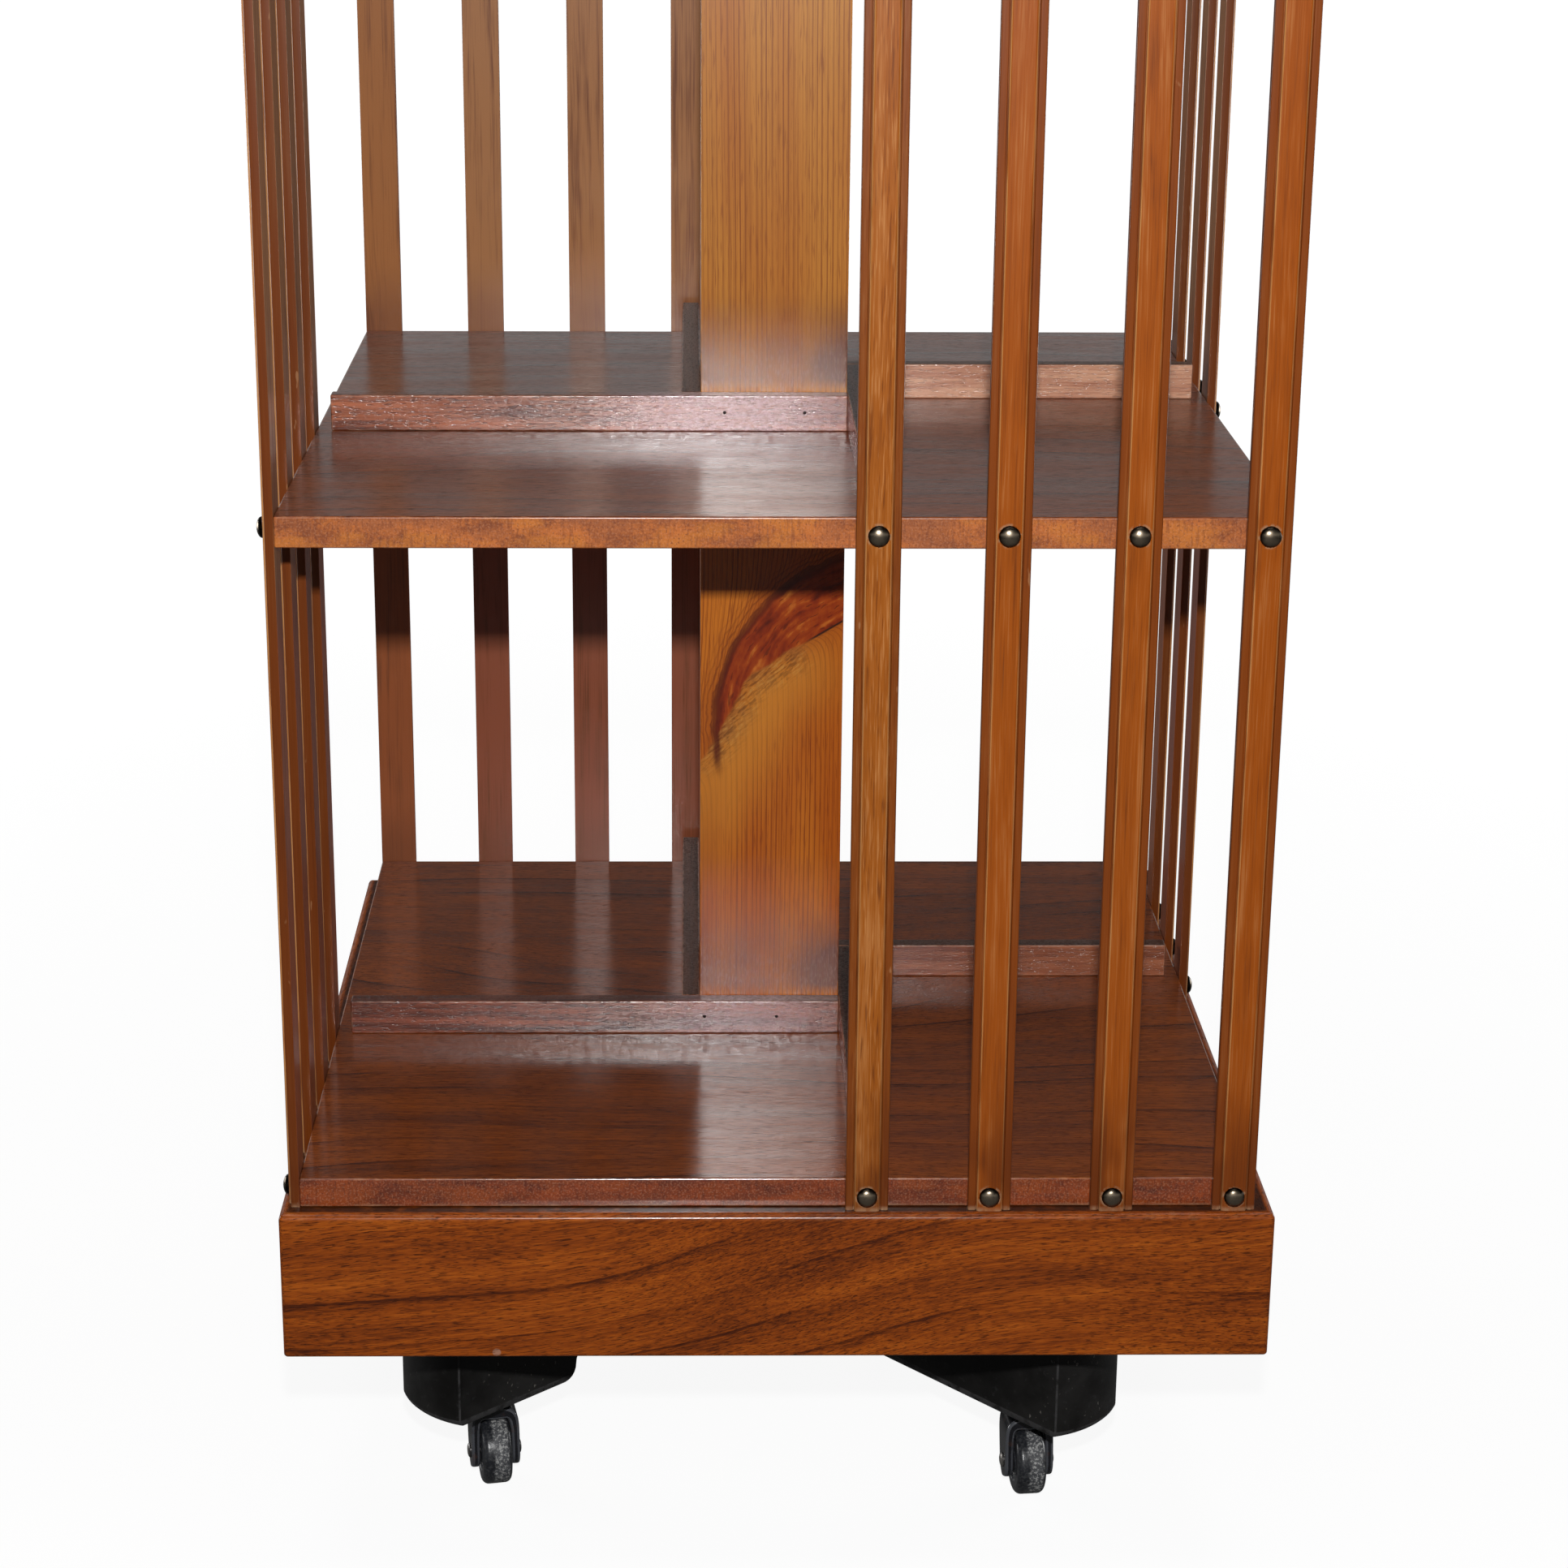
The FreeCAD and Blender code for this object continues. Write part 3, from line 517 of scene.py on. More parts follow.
@dataclass(frozen=True)
class SlatWood:
    """Stained and varnished moulding: a golden middle, redder bands, darker grooves, painted shade on the outer
    edges, rubbed shoulders with a painted highlight.
    """

    half_width: float
    foot: float
    nails: tuple[float, ...]
    name: str = "slat_wood"
    gold: Colour = tint(168, 92, 25)
    orange: Colour = tint(166, 81, 13)
    deep: Colour = tint(100, 44, 10)
    band: Colour = tint(119, 56, 15)
    groove: Colour = tint(72, 32, 10)
    # Pale rubbed wood, also the colour of the painted highlight on the shoulders.
    rubbed: Colour = tint(224, 160, 98)
    inside: Colour = tint(178, 122, 76)
    inside_low: Colour = tint(152, 85, 60)
    inside_dark: Colour = tint(116, 66, 40)
    residue: Colour = tint(186, 150, 116)
    roughness: float = 0.42
    varnish: Varnish = Varnish(0.6, 0.26, 1.5)

    def material(self) -> Material:
        """Return the material."""
        shade = Shade(self.name)
        piece = shade.marked("shade")
        across = abs(shade.marked("across"))
        x, y, z = shade.parts(shade.place)
        wander = (shade.mottled((16, 16, 3), 1) - 0.5) * 0.01
        bent = shade.joined(x + wander, y + wander, z + piece * 3.0)
        streaks = shade.noise(bent, (260, 260, 5), 2, 0.55)
        fibres = shade.noise(bent, (1300, 1300, 24), 2, 0.6)
        flecks = shade.noise(bent, (1100, 1100, 45), 2, 0.6)
        blotch = shade.noise(bent, (60, 60, 22), 2)
        wood = shade.blend(shade.rise(piece, 0.1, 0.75), self.gold, self.orange)
        tone = (streaks - 0.5) * 1.2 + (fibres - 0.5) * 1.1
        tone = tone + (blotch - 0.5) * 0.7
        wood = shade.blend(shade.rise(tone, -0.05, 0.7) * 0.9, wood, self.deep)
        wood = shade.blend(shade.rise(tone, 0.0, -0.55) * 0.35, wood, self.rubbed)
        plain = 0.15 + shade.rise(piece, 0.5, 0.1)
        wood = shade.blend(shade.rise(flecks, 0.54, 0.68) * plain * 0.3, wood, self.rubbed)
        wood = shade.blend(shade.rise(flecks, 0.44, 0.3) * plain * 0.55, wood, self.deep)
        side = shade.rise(across, 0.645, 0.665)
        wood = shade.blend(side * 0.68, wood, self.band)
        # Darker in the grooves.
        groove_dark = shade.rise(across, 0.585, 0.605) * shade.rise(across, 0.675, 0.65)
        wood = shade.blend(groove_dark * (0.15 + blotch * 0.7), wood, self.groove)
        # Painted shade: the slat's outer edges are darkened with the groove colour.
        brink = shade.rise(across, 0.94, 0.99)
        wood = shade.blend(brink * 0.4, wood, self.groove)
        # Rubbed shoulders and a painted highlight: a pale line painted along the edges of the raised middle.
        shoulder = shade.rise(across, 0.52, 0.555) * shade.rise(across, 0.605, 0.585)
        scuff = shade.rise(shade.noise(bent, (90, 90, 16), 3, 0.7), 0.3, 0.55)
        wood = shade.blend(shoulder * (0.2 + scuff) * 0.7, wood, self.rubbed)
        chips = shade.rise(shade.noise(bent, (240, 240, 60), 2, 0.7), 0.71, 0.76)
        chips = chips * shade.rise(across, 0.5, 0.9)
        wood = shade.blend(chips * 0.35, wood, tint(206, 158, 112))
        low_down = shade.rise(z, self.foot + 85.0 * MM, self.foot + 15.0 * MM)
        wood = shade.blend(low_down * (0.2 + shade.rise(blotch, 0.35, 0.6) * 0.45), wood, self.deep)
        wood = self.with_residue(shade, wood, across, z)
        plain_back = shade.blend(shade.rise(z, 0.56, 0.5), self.inside, self.inside_low)
        plain_back = shade.blend(shade.rise(piece, 0.45, 0.2) * 0.4, plain_back, self.gold)
        plain_back = shade.blend(shade.rise(tone, -0.1, 0.6), plain_back, self.inside_dark)
        for floor in self.nails:
            near = shade.rise(z, floor + 0.055, floor + 0.012) * shade.rise(z, floor, floor + 0.005)
            plain_back = shade.blend(near * 0.6, plain_back, self.inside_dark)
        wood = shade.blend(shade.rise(shade.marked("depth"), -0.05, -0.01), wood, plain_back)
        roughness = self.roughness + (blotch - 0.5) * 0.2
        normal = shade.relief(fibres + flecks, 0.00006, 0.5)
        film = shade.relief(blotch + fibres * 0.4, 0.00004, 0.5)
        return shade.varnished(wood, roughness, normal, film, self.varnish)

    def with_residue(self, shade: Shade, wood: Term, across: Term, z: Term) -> Term:
        """Return the wood's colour with old polish round its nails and at its foot.

        Args:
            shade: The material's nodes.
            wood: The wood's colour.
            across: Distance from the slat's middle, as a share of its half width.
            z: Height.

        Returns:
            The colour.
        """
        patchy = shade.rise(shade.mottled(300, 2), 0.35, 0.65)
        side = across * self.half_width
        rise = abs(z - self.nails[0])
        for height in self.nails[1:]:
            rise = shade.math("MINIMUM", rise, abs(z - height))
        away = shade.distance(side, rise)
        ring = shade.rise(away, 6.6 * MM, 5.3 * MM) * shade.rise(patchy, 0.2, 0.9)
        foot = shade.rise(z, self.foot + 3.0 * MM, self.foot + 0.5 * MM)
        share = shade.larger(ring, foot) * (0.2 + patchy * 0.35)
        return shade.blend(share, wood, self.residue)


@dataclass(frozen=True)
class Knot:
    """A branch's scar in a board's face: a crescent between a round rim above it and a crack below it.

    The crack's line turns down at the tail. Places are in metres over the board's face.
    """

    middle: Pair = (70.0 * MM, 400.0 * MM)
    radius: float = 100.3 * MM
    crack: Pair = (17.7 * MM, 447.5 * MM)
    crack_turn: float = math.radians(31.0)
    tail: Pair = (-15.0 * MM, 423.0 * MM)
    tail_turn: float = math.radians(62.0)
    ring: float = 2.7 * MM


@dataclass(frozen=True)
class Pine:
    """Golden stained softwood: close dark lines of late wood up the board, a darker band just above the floor, and a
    knot on one board.
    """

    name: str
    floor: float
    pale: Colour = tint(206, 138, 52)
    middle: Colour = tint(188, 112, 34)
    line: Colour = tint(134, 64, 14)
    grime: Colour = tint(88, 50, 44)
    pitch: float = 2.45 * MM
    knot: Knot | None = None
    roughness: float = 0.42
    varnish: Varnish = Varnish(roughness=0.23, ior=1.62)

    def material(self) -> Material:
        """Return the material."""
        shade = Shade(self.name)
        x, y, z = shade.parts(shade.place)
        wander = shade.mottled((14, 14, 2.2), 1)
        across = x * 0.92 + y * 0.55 + wander * 0.007
        if self.knot is not None:
            across = self.bent_by_knot(shade, across, x, z)
        uneven = shade.noise(shade.joined(across * 60, 0.0, z * 0.6), 1.0, 2)
        ring = shade.math("FRACT", (across + uneven * 0.006) / self.pitch)
        late = shade.rise(ring, 0.58, 0.88) * shade.rise(ring, 1.0, 0.92)
        hair = shade.noise(shade.joined(across * 1500, y * 300, z * 9), 1.0, 2)
        depth = shade.noise(shade.joined(across * 120, y * 60, z * 4), 1.0, 2)
        fleck = shade.mottled((1300, 1300, 55), 2)
        warm = shade.mottled((26, 26, 4), 2)
        wood = shade.blend(shade.rise(warm, 0.3, 0.7), self.middle, self.pale)
        wood = shade.blend(late * shade.rise(depth, 0.15, 0.75) * 0.9, wood, self.line)
        wood = shade.blend(shade.rise(hair, 0.45, 0.8) * 0.4, wood, self.line)
        wood = shade.blend(shade.rise(fleck, 0.53, 0.7) * 0.55, wood, self.line)
        if self.knot is not None:
            wood = self.with_knot(shade, wood, x, z)
        floor = self.floor
        # A darker band just above the floor, darkest on the right, but not at the very bottom.
        foot = shade.rise(z, floor + 0.08, floor + 0.034) * shade.rise(z, floor + 0.017, floor + 0.027)
        patch = shade.mottled((24, 24, 16), 2)
        foot = foot * (shade.rise(x, 0.008, 0.036) * 0.55 + shade.rise(patch, 0.1, 0.9))
        wood = shade.blend(shade.math("MINIMUM", foot, 0.85), wood, self.grime)
        dust = shade.rise(shade.mottled((1500, 1500, 260), 2), 0.5, 0.68)
        near = shade.rise(z, floor + 0.07, floor + 0.01)
        wood = shade.blend(dust * near * 0.3, wood, tint(206, 168, 152))
        rubbed = shade.rise(shade.mottled(110, 3), 0.45, 0.6) * shade.marked("arris")
        wood = shade.blend(rubbed * 0.5, wood, self.pale)
        roughness = self.roughness + (warm - 0.5) * 0.15
        normal = shade.relief(fleck * 0.6 + late * 0.6, 0.00006, 0.6)
        film = shade.relief(warm + late * 0.2, 0.00005, 0.5)
        return shade.varnished(wood, roughness, normal, film, self.varnish)

    def knot_places(self, shade: Shade, x: Term, z: Term) -> tuple[Term, Term, Term]:
        """Measure a point of the face against the knot.

        Args:
            shade: The material's nodes.
            x: Distance to the right.
            z: Height.

        Returns:
            The distance outside the knot's rim, the height over the crack's line, and the distance along it.
        """
        knot = self.knot
        wobble = (shade.mottled(60, 4) - 0.5) * 0.006
        side, up = x - knot.middle[0], z - knot.middle[1]
        away = shade.distance(side, up)
        gap = away - knot.radius + wobble
        heights = []
        for point, turn in ((knot.tail, knot.tail_turn), (knot.crack, knot.crack_turn)):
            side, up = x - point[0], z - point[1]
            heights.append(up * math.cos(turn) - side * math.sin(turn))
        along = side * math.cos(turn) + up * math.sin(turn)
        over = shade.math("SMOOTH_MAX", heights[0], heights[1], 0.006)
        return (gap, over + wobble * shade.rise(along, 0.006, -0.01), along)

    def bent_by_knot(self, shade: Shade, across: Term, x: Term, z: Term) -> Term:
        """Bend the grain along the knot's rim and along its crack.

        Args:
            shade: The material's nodes.
            across: Distance across the grain.
            x: Distance to the right.
            z: Height.

        Returns:
            The bent distance.
        """
        gap, over, _ = self.knot_places(shade, x, z)
        outside = shade.math("EXPONENT", shade.larger(gap, 0.0) * -140.0)
        below = shade.math("EXPONENT", shade.larger(over * -1.0, 0.0) * -190.0)
        upper = shade.rise(over, -0.001, 0.001)
        pull = outside * upper * 0.011 + below * (1.0 - upper) * 0.008
        return across + pull

    def with_knot(self, shade: Shade, wood: Term, x: Term, z: Term) -> Term:
        """Return the wood's colour with the knot, its dark rim, its crack and the brushed wood under it.

        Args:
            shade: The material's nodes.
            wood: The wood's colour.
            x: Distance to the right.
            z: Height.

        Returns:
            The colour.
        """
        gap, over, along = self.knot_places(shade, x, z)
        soft = shade.mottled((90, 90, 60), 3, 0.6)
        glow = shade.rise(over, -0.05, -0.012) * shade.rise(over, 0.001, -0.001)
        wood = shade.blend(glow * shade.rise(along, 0.03, -0.02) * 0.6, wood, tint(216, 142, 50))
        left = shade.rise(x, -0.018, -0.038) * shade.rise(over, 0.004, -0.03)
        wood = shade.blend(left * 0.3, wood, tint(140, 50, 10))
        brushed = shade.rise(over, -0.019, -0.003) * shade.rise(over, 0.002, -0.001)
        brushed = brushed * (shade.rise(along, 0.004, -0.012) * shade.rise(z, 0.366, 0.392))
        leaning = shade.turned(shade.place, turn=(0, math.radians(42), 0))
        strokes = shade.noise(leaning, (160, 300, 900), 2, 0.6)
        wood = shade.blend(brushed * (shade.rise(soft, 0.3, 0.7) * 0.6), wood, tint(150, 106, 56))
        wood = shade.blend(shade.rise(strokes, 0.5, 0.62) * brushed * 0.6, wood, tint(70, 42, 16))
        wood = shade.blend(shade.rise(strokes, 0.46, 0.34) * brushed * 0.55, wood, tint(218, 168, 84))
        warm = shade.rise(gap, 0.014, 0.0) * shade.rise(over, -0.012, 0.004)
        wood = shade.blend(warm * 0.45, wood, tint(150, 62, 10))
        ripple = (shade.mottled(140, 3) - 0.5) * 0.003
        rings = shade.math("FRACT", (gap + ripple) / self.knot.ring)
        around = shade.rise(gap, 0.014, 0.002) * shade.rise(over, -0.004, 0.004)
        rings = shade.rise(rings, 0.45, 0.8) * shade.rise(rings, 1.0, 0.85) * around
        wood = shade.blend(rings * 0.55, wood, tint(92, 32, 5))
        rim = shade.rise(gap, -0.0028, -0.0006) * shade.rise(gap, 0.0034, 0.0008)
        rim = rim * shade.rise(over, -0.016, -0.004)
        flow = shade.joined(gap * 210, along * 34, 0.0)
        streaks = shade.noise(flow, 1.0, 2, 0.55, 0.4) * 0.6 + soft * 0.4
        branch = shade.scale_between(streaks, [
            (0.34, tint(92, 24, 3)), (0.45, tint(140, 46, 6)), (0.55, tint(166, 68, 12)), (0.68, tint(222, 134, 50))])
        inside = shade.rise(gap, 0.0008, -0.0008) * shade.rise(over, -0.0008, 0.0008)
        wood = shade.blend(inside, wood, branch)
        dashes = shade.noise(shade.joined(gap * 700, along * 130, 0.0), 1.0, 2)
        wood = shade.blend(shade.rise(dashes, 0.6, 0.68) * inside * 0.6, wood, tint(76, 22, 4))
        wood = shade.blend(rim * (0.45 + soft * 0.7), wood, tint(86, 24, 3))
        crack = shade.rise(over, -0.0009, -0.0002) * shade.rise(over, 0.0009, 0.0002)
        crack = crack * shade.rise(along, -0.002, 0.008)
        return shade.blend(crack * 0.92, wood, tint(30, 13, 5))


@dataclass(frozen=True)
class StopWood:
    """Stained hardwood strip with open pores and rubbed edges, its grain along the strip.

    The painted glare is a pale violet sheen painted on the strip: its middle along X, its reach from there and its
    strength.
    """

    name: str
    grain: Grain = Grain.ALONG_X
    pale: Colour = tint(196, 132, 100)
    dark: Colour = tint(118, 58, 36)
    coarse: float = 1.0
    dust: float = 0.8
    bloom: Triple = (0.0, 0.1, 0.0)
    roughness: float = 0.45
    varnish: Varnish = Varnish(roughness=0.2, ior=1.82)

    def material(self) -> Material:
        """Return the material."""
        shade = Shade(self.name)
        along = shade.turned(shade.place, (0.3, 0.1, 0.2), self.grain.value)
        streaks = shade.noise(along, (9, 190, 190), 3, 0.6)
        fibres = shade.noise(along, (40, 1100, 1100), 2, 0.6)
        tone = streaks * 0.7 + fibres * 0.4
        colour = shade.blend(shade.rise(tone, 0.34, 0.74), self.pale, self.dark)
        pores = shade.rise(shade.noise(along, (230, 1500, 1500), 1.5), 0.55, 0.66)
        colour = shade.blend(pores * (0.6 * self.coarse), colour, tint(48, 20, 14))
        speckle = shade.rise(shade.mottled(650, 3, 0.7), 0.35, 0.65)
        top = shade.facing(2, 0.6, 0.9)
        colour = shade.blend(top * self.dust, colour, shade.blend(speckle, tint(30, 25, 22), tint(88, 80, 74)))
        stain = shade.rise(shade.mottled(22, 2), 0.6, 0.75)
        colour = shade.blend(stain * 0.4, colour, tint(66, 30, 20))
        rubbed = shade.rise(shade.mottled(140, 3), 0.4, 0.6) * shade.marked("arris")
        colour = shade.blend(rubbed * 0.25, colour, tint(214, 168, 140))
        rough = shade.noise(along, (330, 700, 700), 3, 0.7)
        # Painted glare: a pale violet sheen painted along the front strip, standing in for reflected light.
        middle, reach, most = self.bloom
        away = abs(shade.parts(shade.place)[0] - middle)
        glare = shade.rise(away, reach, 0.15 * reach) * (0.3 + shade.rise(rough, 0.4, 0.62) * 0.7)
        colour = shade.blend(glare * most, colour, tint(222, 190, 196))
        hole = shade.rise(shade.marked("arris"), -0.2, -0.8)
        colour = shade.blend(hole * 0.92, colour, tint(16, 9, 7))
        normal = shade.relief(fibres * 0.4 - pores, 0.00012, 0.8)
        film = shade.relief(streaks * 0.5 - pores + rough, 0.00009, 0.8)
        bare = shade.rise(rough, 0.48, 0.62) * (0.6 * self.coarse)
        bare = bare * 0.9 + shade.rise(streaks, 0.45, 0.65) * 0.1
        bare = shade.larger(shade.larger(bare, top * (0.9 * self.dust)), hole)
        return shade.varnished(colour, self.roughness + pores * 0.2, normal, film, self.varnish, bare)


@dataclass(frozen=True)
class RawWood:
    """Unfinished softwood of the hidden blocks."""

    name: str = "raw_softwood"

    def material(self) -> Material:
        """Return the material."""
        shade = Shade(self.name)
        rings = shade.mottled((170, 170, 9), 2)
        fibres = shade.mottled((900, 900, 40), 2)
        tone = rings * 0.7 + fibres * 0.3
        colour = shade.blend(shade.rise(tone, 0.3, 0.7), tint(196, 160, 116), tint(146, 104, 62))
        glue = shade.rise(shade.mottled(45, 2), 0.6, 0.7)
        colour = shade.blend(glue * 0.4, colour, tint(104, 66, 32))
        return shade.surface(colour, 0.78, shade.relief(fibres, 0.0002, 0.8))


@dataclass(frozen=True)
class BlackPaint:
    """Dull black paint on wood, with brush marks, small scratches and edges rubbed to the wood, their pale line
    partly a painted highlight.
    """

    name: str = "cross_paint"

    def material(self) -> Material:
        """Return the material."""
        shade = Shade(self.name)
        patches = shade.mottled(22, 4, 0.6)
        brush = shade.noise(shade.turned(shade.place, turn=(0, 0, math.radians(45)), scale=(30, 400, 400)), detail=2)
        colour = shade.blend(shade.rise(patches, 0.35, 0.7), tint(17, 16, 15), tint(40, 39, 38))
        dust = shade.rise(shade.mottled(260, 3, 0.7), 0.58, 0.74)
        colour = shade.blend(dust * 0.16, colour, tint(84, 84, 86))
        lines = shade.noise(shade.turned(shade.place, turn=(0.4, 0.9, 0.3), scale=(26, 700, 300)), detail=1)
        scratch = shade.rise(lines, 0.7, 0.74) * shade.rise(patches, 0.5, 0.6)
        colour = shade.blend(scratch * 0.6, colour, tint(124, 120, 114))
        # Edges rubbed grey: worn paint, and also a painted highlight along the arrises.
        rubbed = shade.rise(shade.mottled(120, 4, 0.7), 0.32, 0.58) * shade.marked("arris")
        colour = shade.blend(rubbed * 0.5, colour, tint(84, 83, 84))
        roughness = 0.46 + (patches - 0.5) * 0.3
        normal = shade.relief(brush * 0.6 + patches * 0.8, 0.00016, 0.7)
        return shade.surface(colour, roughness, normal, Specular_IOR_Level=0.16)


@dataclass(frozen=True)
class WornIron:
    """Iron: black painted and rubbed bright, or plain and dark, by its colours; the fork's bright edges are partly a
    painted highlight.
    """

    name: str
    base: Colour = tint(26, 26, 28)
    bare: Colour = tint(120, 118, 116)
    rust: Colour = tint(84, 52, 36)
    metal: float = 0.0
    roughness: float = 0.3
    rubbing: float = 0.5

    def material(self) -> Material:
        """Return the material."""
        shade = Shade(self.name)
        patches = shade.mottled(75, 4, 0.65)
        grit = shade.mottled(900, 2)
        colour = shade.blend(shade.rise(patches, 0.3, 0.75), self.base, toned(self.base, 1.9, 1.9, 1.9))
        # Rubbed edges: worn paint or bare metal; on the fork's painted iron the pale edges are also a painted
        # highlight.
        worn = shade.larger(shade.marked("wear"), shade.marked("arris"))
        rubbed = shade.rise(worn * 0.55 + patches * 0.6, 0.62, 0.8)
        colour = shade.blend(rubbed * self.rubbing, colour, self.bare)
        stain = shade.rise(shade.mottled(140, 3), 0.6, 0.72)
        colour = shade.blend(stain * 0.3, colour, self.rust)
        roughness = self.roughness + (patches - 0.4) * 0.4
        normal = shade.relief(grit * 0.4 + patches, 0.0001, 0.6)
        return shade.surface(colour, roughness, normal, Metallic=self.metal)


@dataclass(frozen=True)
class WheelFinish:
    """Hard black wheel: its tread scuffed grey by floors, its sides dusty."""

    name: str = "wheel_finish"

    def material(self) -> Material:
        """Return the material."""
        shade = Shade(self.name)
        tread = shade.marked("wear")
        patches = shade.mottled(130, 4, 0.65)
        grit = shade.mottled(700, 3, 0.7)
        base = shade.blend(patches, tint(18, 19, 22), tint(42, 44, 50))
        scuff = shade.rise(tread * 0.9 + patches * 0.5, 0.92, 1.12)
        colour = shade.blend(scuff * 0.7, base, tint(84, 85, 88))
        marks = shade.rise(grit, 0.49, 0.6) * (0.1 + scuff)
        colour = shade.blend(marks * 0.8, colour, tint(176, 176, 174))
        pits = shade.rise(grit, 0.4, 0.3)
        colour = shade.blend(pits * 0.7, colour, tint(12, 12, 13))
        roughness = 0.3 + scuff * 0.3
        return shade.surface(colour, roughness, shade.relief(grit + patches, 0.00014, 0.6))


@dataclass(frozen=True)
class Bronze:
    """Antique bronze nails: bright on the crown, black round the rim."""

    name: str = "nail_bronze"

    def material(self) -> Material:
        """Return the material."""
        shade = Shade(self.name)
        crown = shade.marked("wear")
        patches = shade.mottled(420, 3)
        bright = shade.rise(crown + (patches - 0.5) * 0.5, 0.3, 0.95)
        colour = shade.blend(bright, tint(26, 21, 17), tint(138, 124, 106))
        roughness = 0.22 + patches * 0.14
        return shade.surface(colour, roughness, shade.relief(patches, 0.00004, 0.4), Metallic=1.0)


# Mesh work


def softened_box(low: Vector, high: Vector, arris: float, steps: int = 3) -> Mesh:
    """Return a box with rounded edges, which are marked as its arrises.

    Args:
        low: Lowest corner.
        high: Highest corner.
        arris: Radius of the edges.
        steps: Faces round each edge.

    Returns:
        The mesh.
    """
    mesh = bmesh.new()
    bmesh.ops.create_cube(mesh, size=1.0)
    span = high - low
    for vertex in mesh.verts:
        vertex.co = Vector(low[axis] + (vertex.co[axis] + 0.5) * span[axis] for axis in range(3))
    mark = mesh.faces.layers.float.new("arris")
    made = bmesh.ops.bevel(mesh, geom=mesh.edges[:], offset=arris, segments=steps, profile=0.5,
                           affect="EDGES", clamp_overlap=True)
    for face in made["faces"]:
        face[mark] = 1.0
    return mesh


def stacked(rings: Sequence[Sequence[Vector]], arrises: Iterable[int] = (),
            upright: Iterable[int] = ()) -> Mesh:
    """Return a closed mesh through rings of equal length, each above the last.

    Args:
        rings: The rings, from the bottom up.
        arrises: Numbers of the bands between rings that are arrises.
        upright: Numbers of the faces along each band that are arrises.

    Returns:
        The mesh.
    """
    mesh = bmesh.new()
    mark = mesh.faces.layers.float.new("arris")
    marked, corners = set(arrises), set(upright)
    made = [[mesh.verts.new(point) for point in ring] for ring in rings]
    count = len(rings[0])
    for number, (below, above) in enumerate(zip(made, made[1:])):
        for step in range(count):
            after = (step + 1) % count
            face = mesh.faces.new((below[step], below[after], above[after], above[step]))
            face[mark] = 1.0 if number in marked or step in corners else 0.0
    mesh.faces.new(list(reversed(made[0])))
    mesh.faces.new(made[-1])
    return mesh


def turned_mesh(profile: Sequence[Pair], wear: Sequence[float] | None = None, around: int = 48) -> Mesh:
    """Return the mesh that a profile makes round the Z axis.

    Args:
        profile: Points of (radius, height). A first or last radius of 0 closes the mesh there.
        wear: How much each point is worn, from 0 to 1.
        around: Faces round the axis.

    Returns:
        The mesh.
    """
    mesh = bmesh.new()
    layer = mesh.verts.layers.float.new("wear")
    rows = []
    for number, (radius, height) in enumerate(profile):
        count = 1 if radius == 0 else around
        row = []
        for step in range(count):
            angle = 2 * math.pi * step / around
            vertex = mesh.verts.new((radius * math.cos(angle), radius * math.sin(angle), height))
            vertex[layer] = wear[number] if wear else 0.0
            row.append(vertex)
        rows.append(row)
    closed = rows if profile[0][0] == 0 else rows + rows[:1]
    for below, above in zip(closed, closed[1:]):
        for step in range(around):
            after = (step + 1) % around
            corners = [below[step % len(below)], below[after % len(below)],
                       above[after % len(above)], above[step % len(above)]]
            unique = list(dict.fromkeys(corners))
            if len(unique) > 2:
                mesh.faces.new(unique)
    return mesh


def arc(centre: Pair, radius: float, from_deg: float, to_deg: float, steps: int) -> list[Pair]:
    """Return the points of an arc, with both its ends."""
    angles = [math.radians(from_deg + (to_deg - from_deg) * step / steps) for step in range(steps + 1)]
    return [(centre[0] + radius * math.cos(angle), centre[1] + radius * math.sin(angle)) for angle in angles]


def rounded_square(half: float, radius: float, steps: int = 4) -> list[Pair]:
    """Return a square's outline with rounded corners, counter-clockwise.

    Args:
        half: Half of its width.
        radius: The corners' radius.
        steps: Edges round each corner.

    Returns:
        The outline's points.
    """
    inner = half - radius
    points: list[Pair] = []
    for number, (x, y) in enumerate(((inner, inner), (-inner, inner), (-inner, -inner), (inner, -inner))):
        points += arc((x, y), radius, 90 * number, 90 * number + 90, steps)
    return points


def flattened(piece: Piece) -> Piece:
    """Apply a piece's modifiers to its mesh.

    Args:
        piece: The piece.

    Returns:
        The same piece without modifiers.
    """
    bpy.context.view_layer.update()
    graph = bpy.context.evaluated_depsgraph_get()
    mesh = bpy.data.meshes.new_from_object(piece.evaluated_get(graph), preserve_all_data_layers=True,
                                           depsgraph=graph)
    piece.modifiers.clear()
    old = piece.data
    piece.data = mesh
    mesh.name = piece.name
    bpy.data.meshes.remove(old)
    return piece


def linked(name: str, mesh: Mesh) -> Piece:
    """Make an object of a mesh as it is.

    Args:
        name: The object's name.
        mesh: The mesh, which is used up.

    Returns:
        The object, in the scene and at the origin.
    """
    data = bpy.data.meshes.new(name)
    mesh.to_mesh(data)
    mesh.free()
    piece = bpy.data.objects.new(name, data)
    bpy.context.scene.collection.objects.link(piece)
    return piece


def discard(pieces: Iterable[Piece]) -> None:
    """Remove objects and their meshes."""
    for piece in pieces:
        data = piece.data
        bpy.data.objects.remove(piece)
        bpy.data.meshes.remove(data)


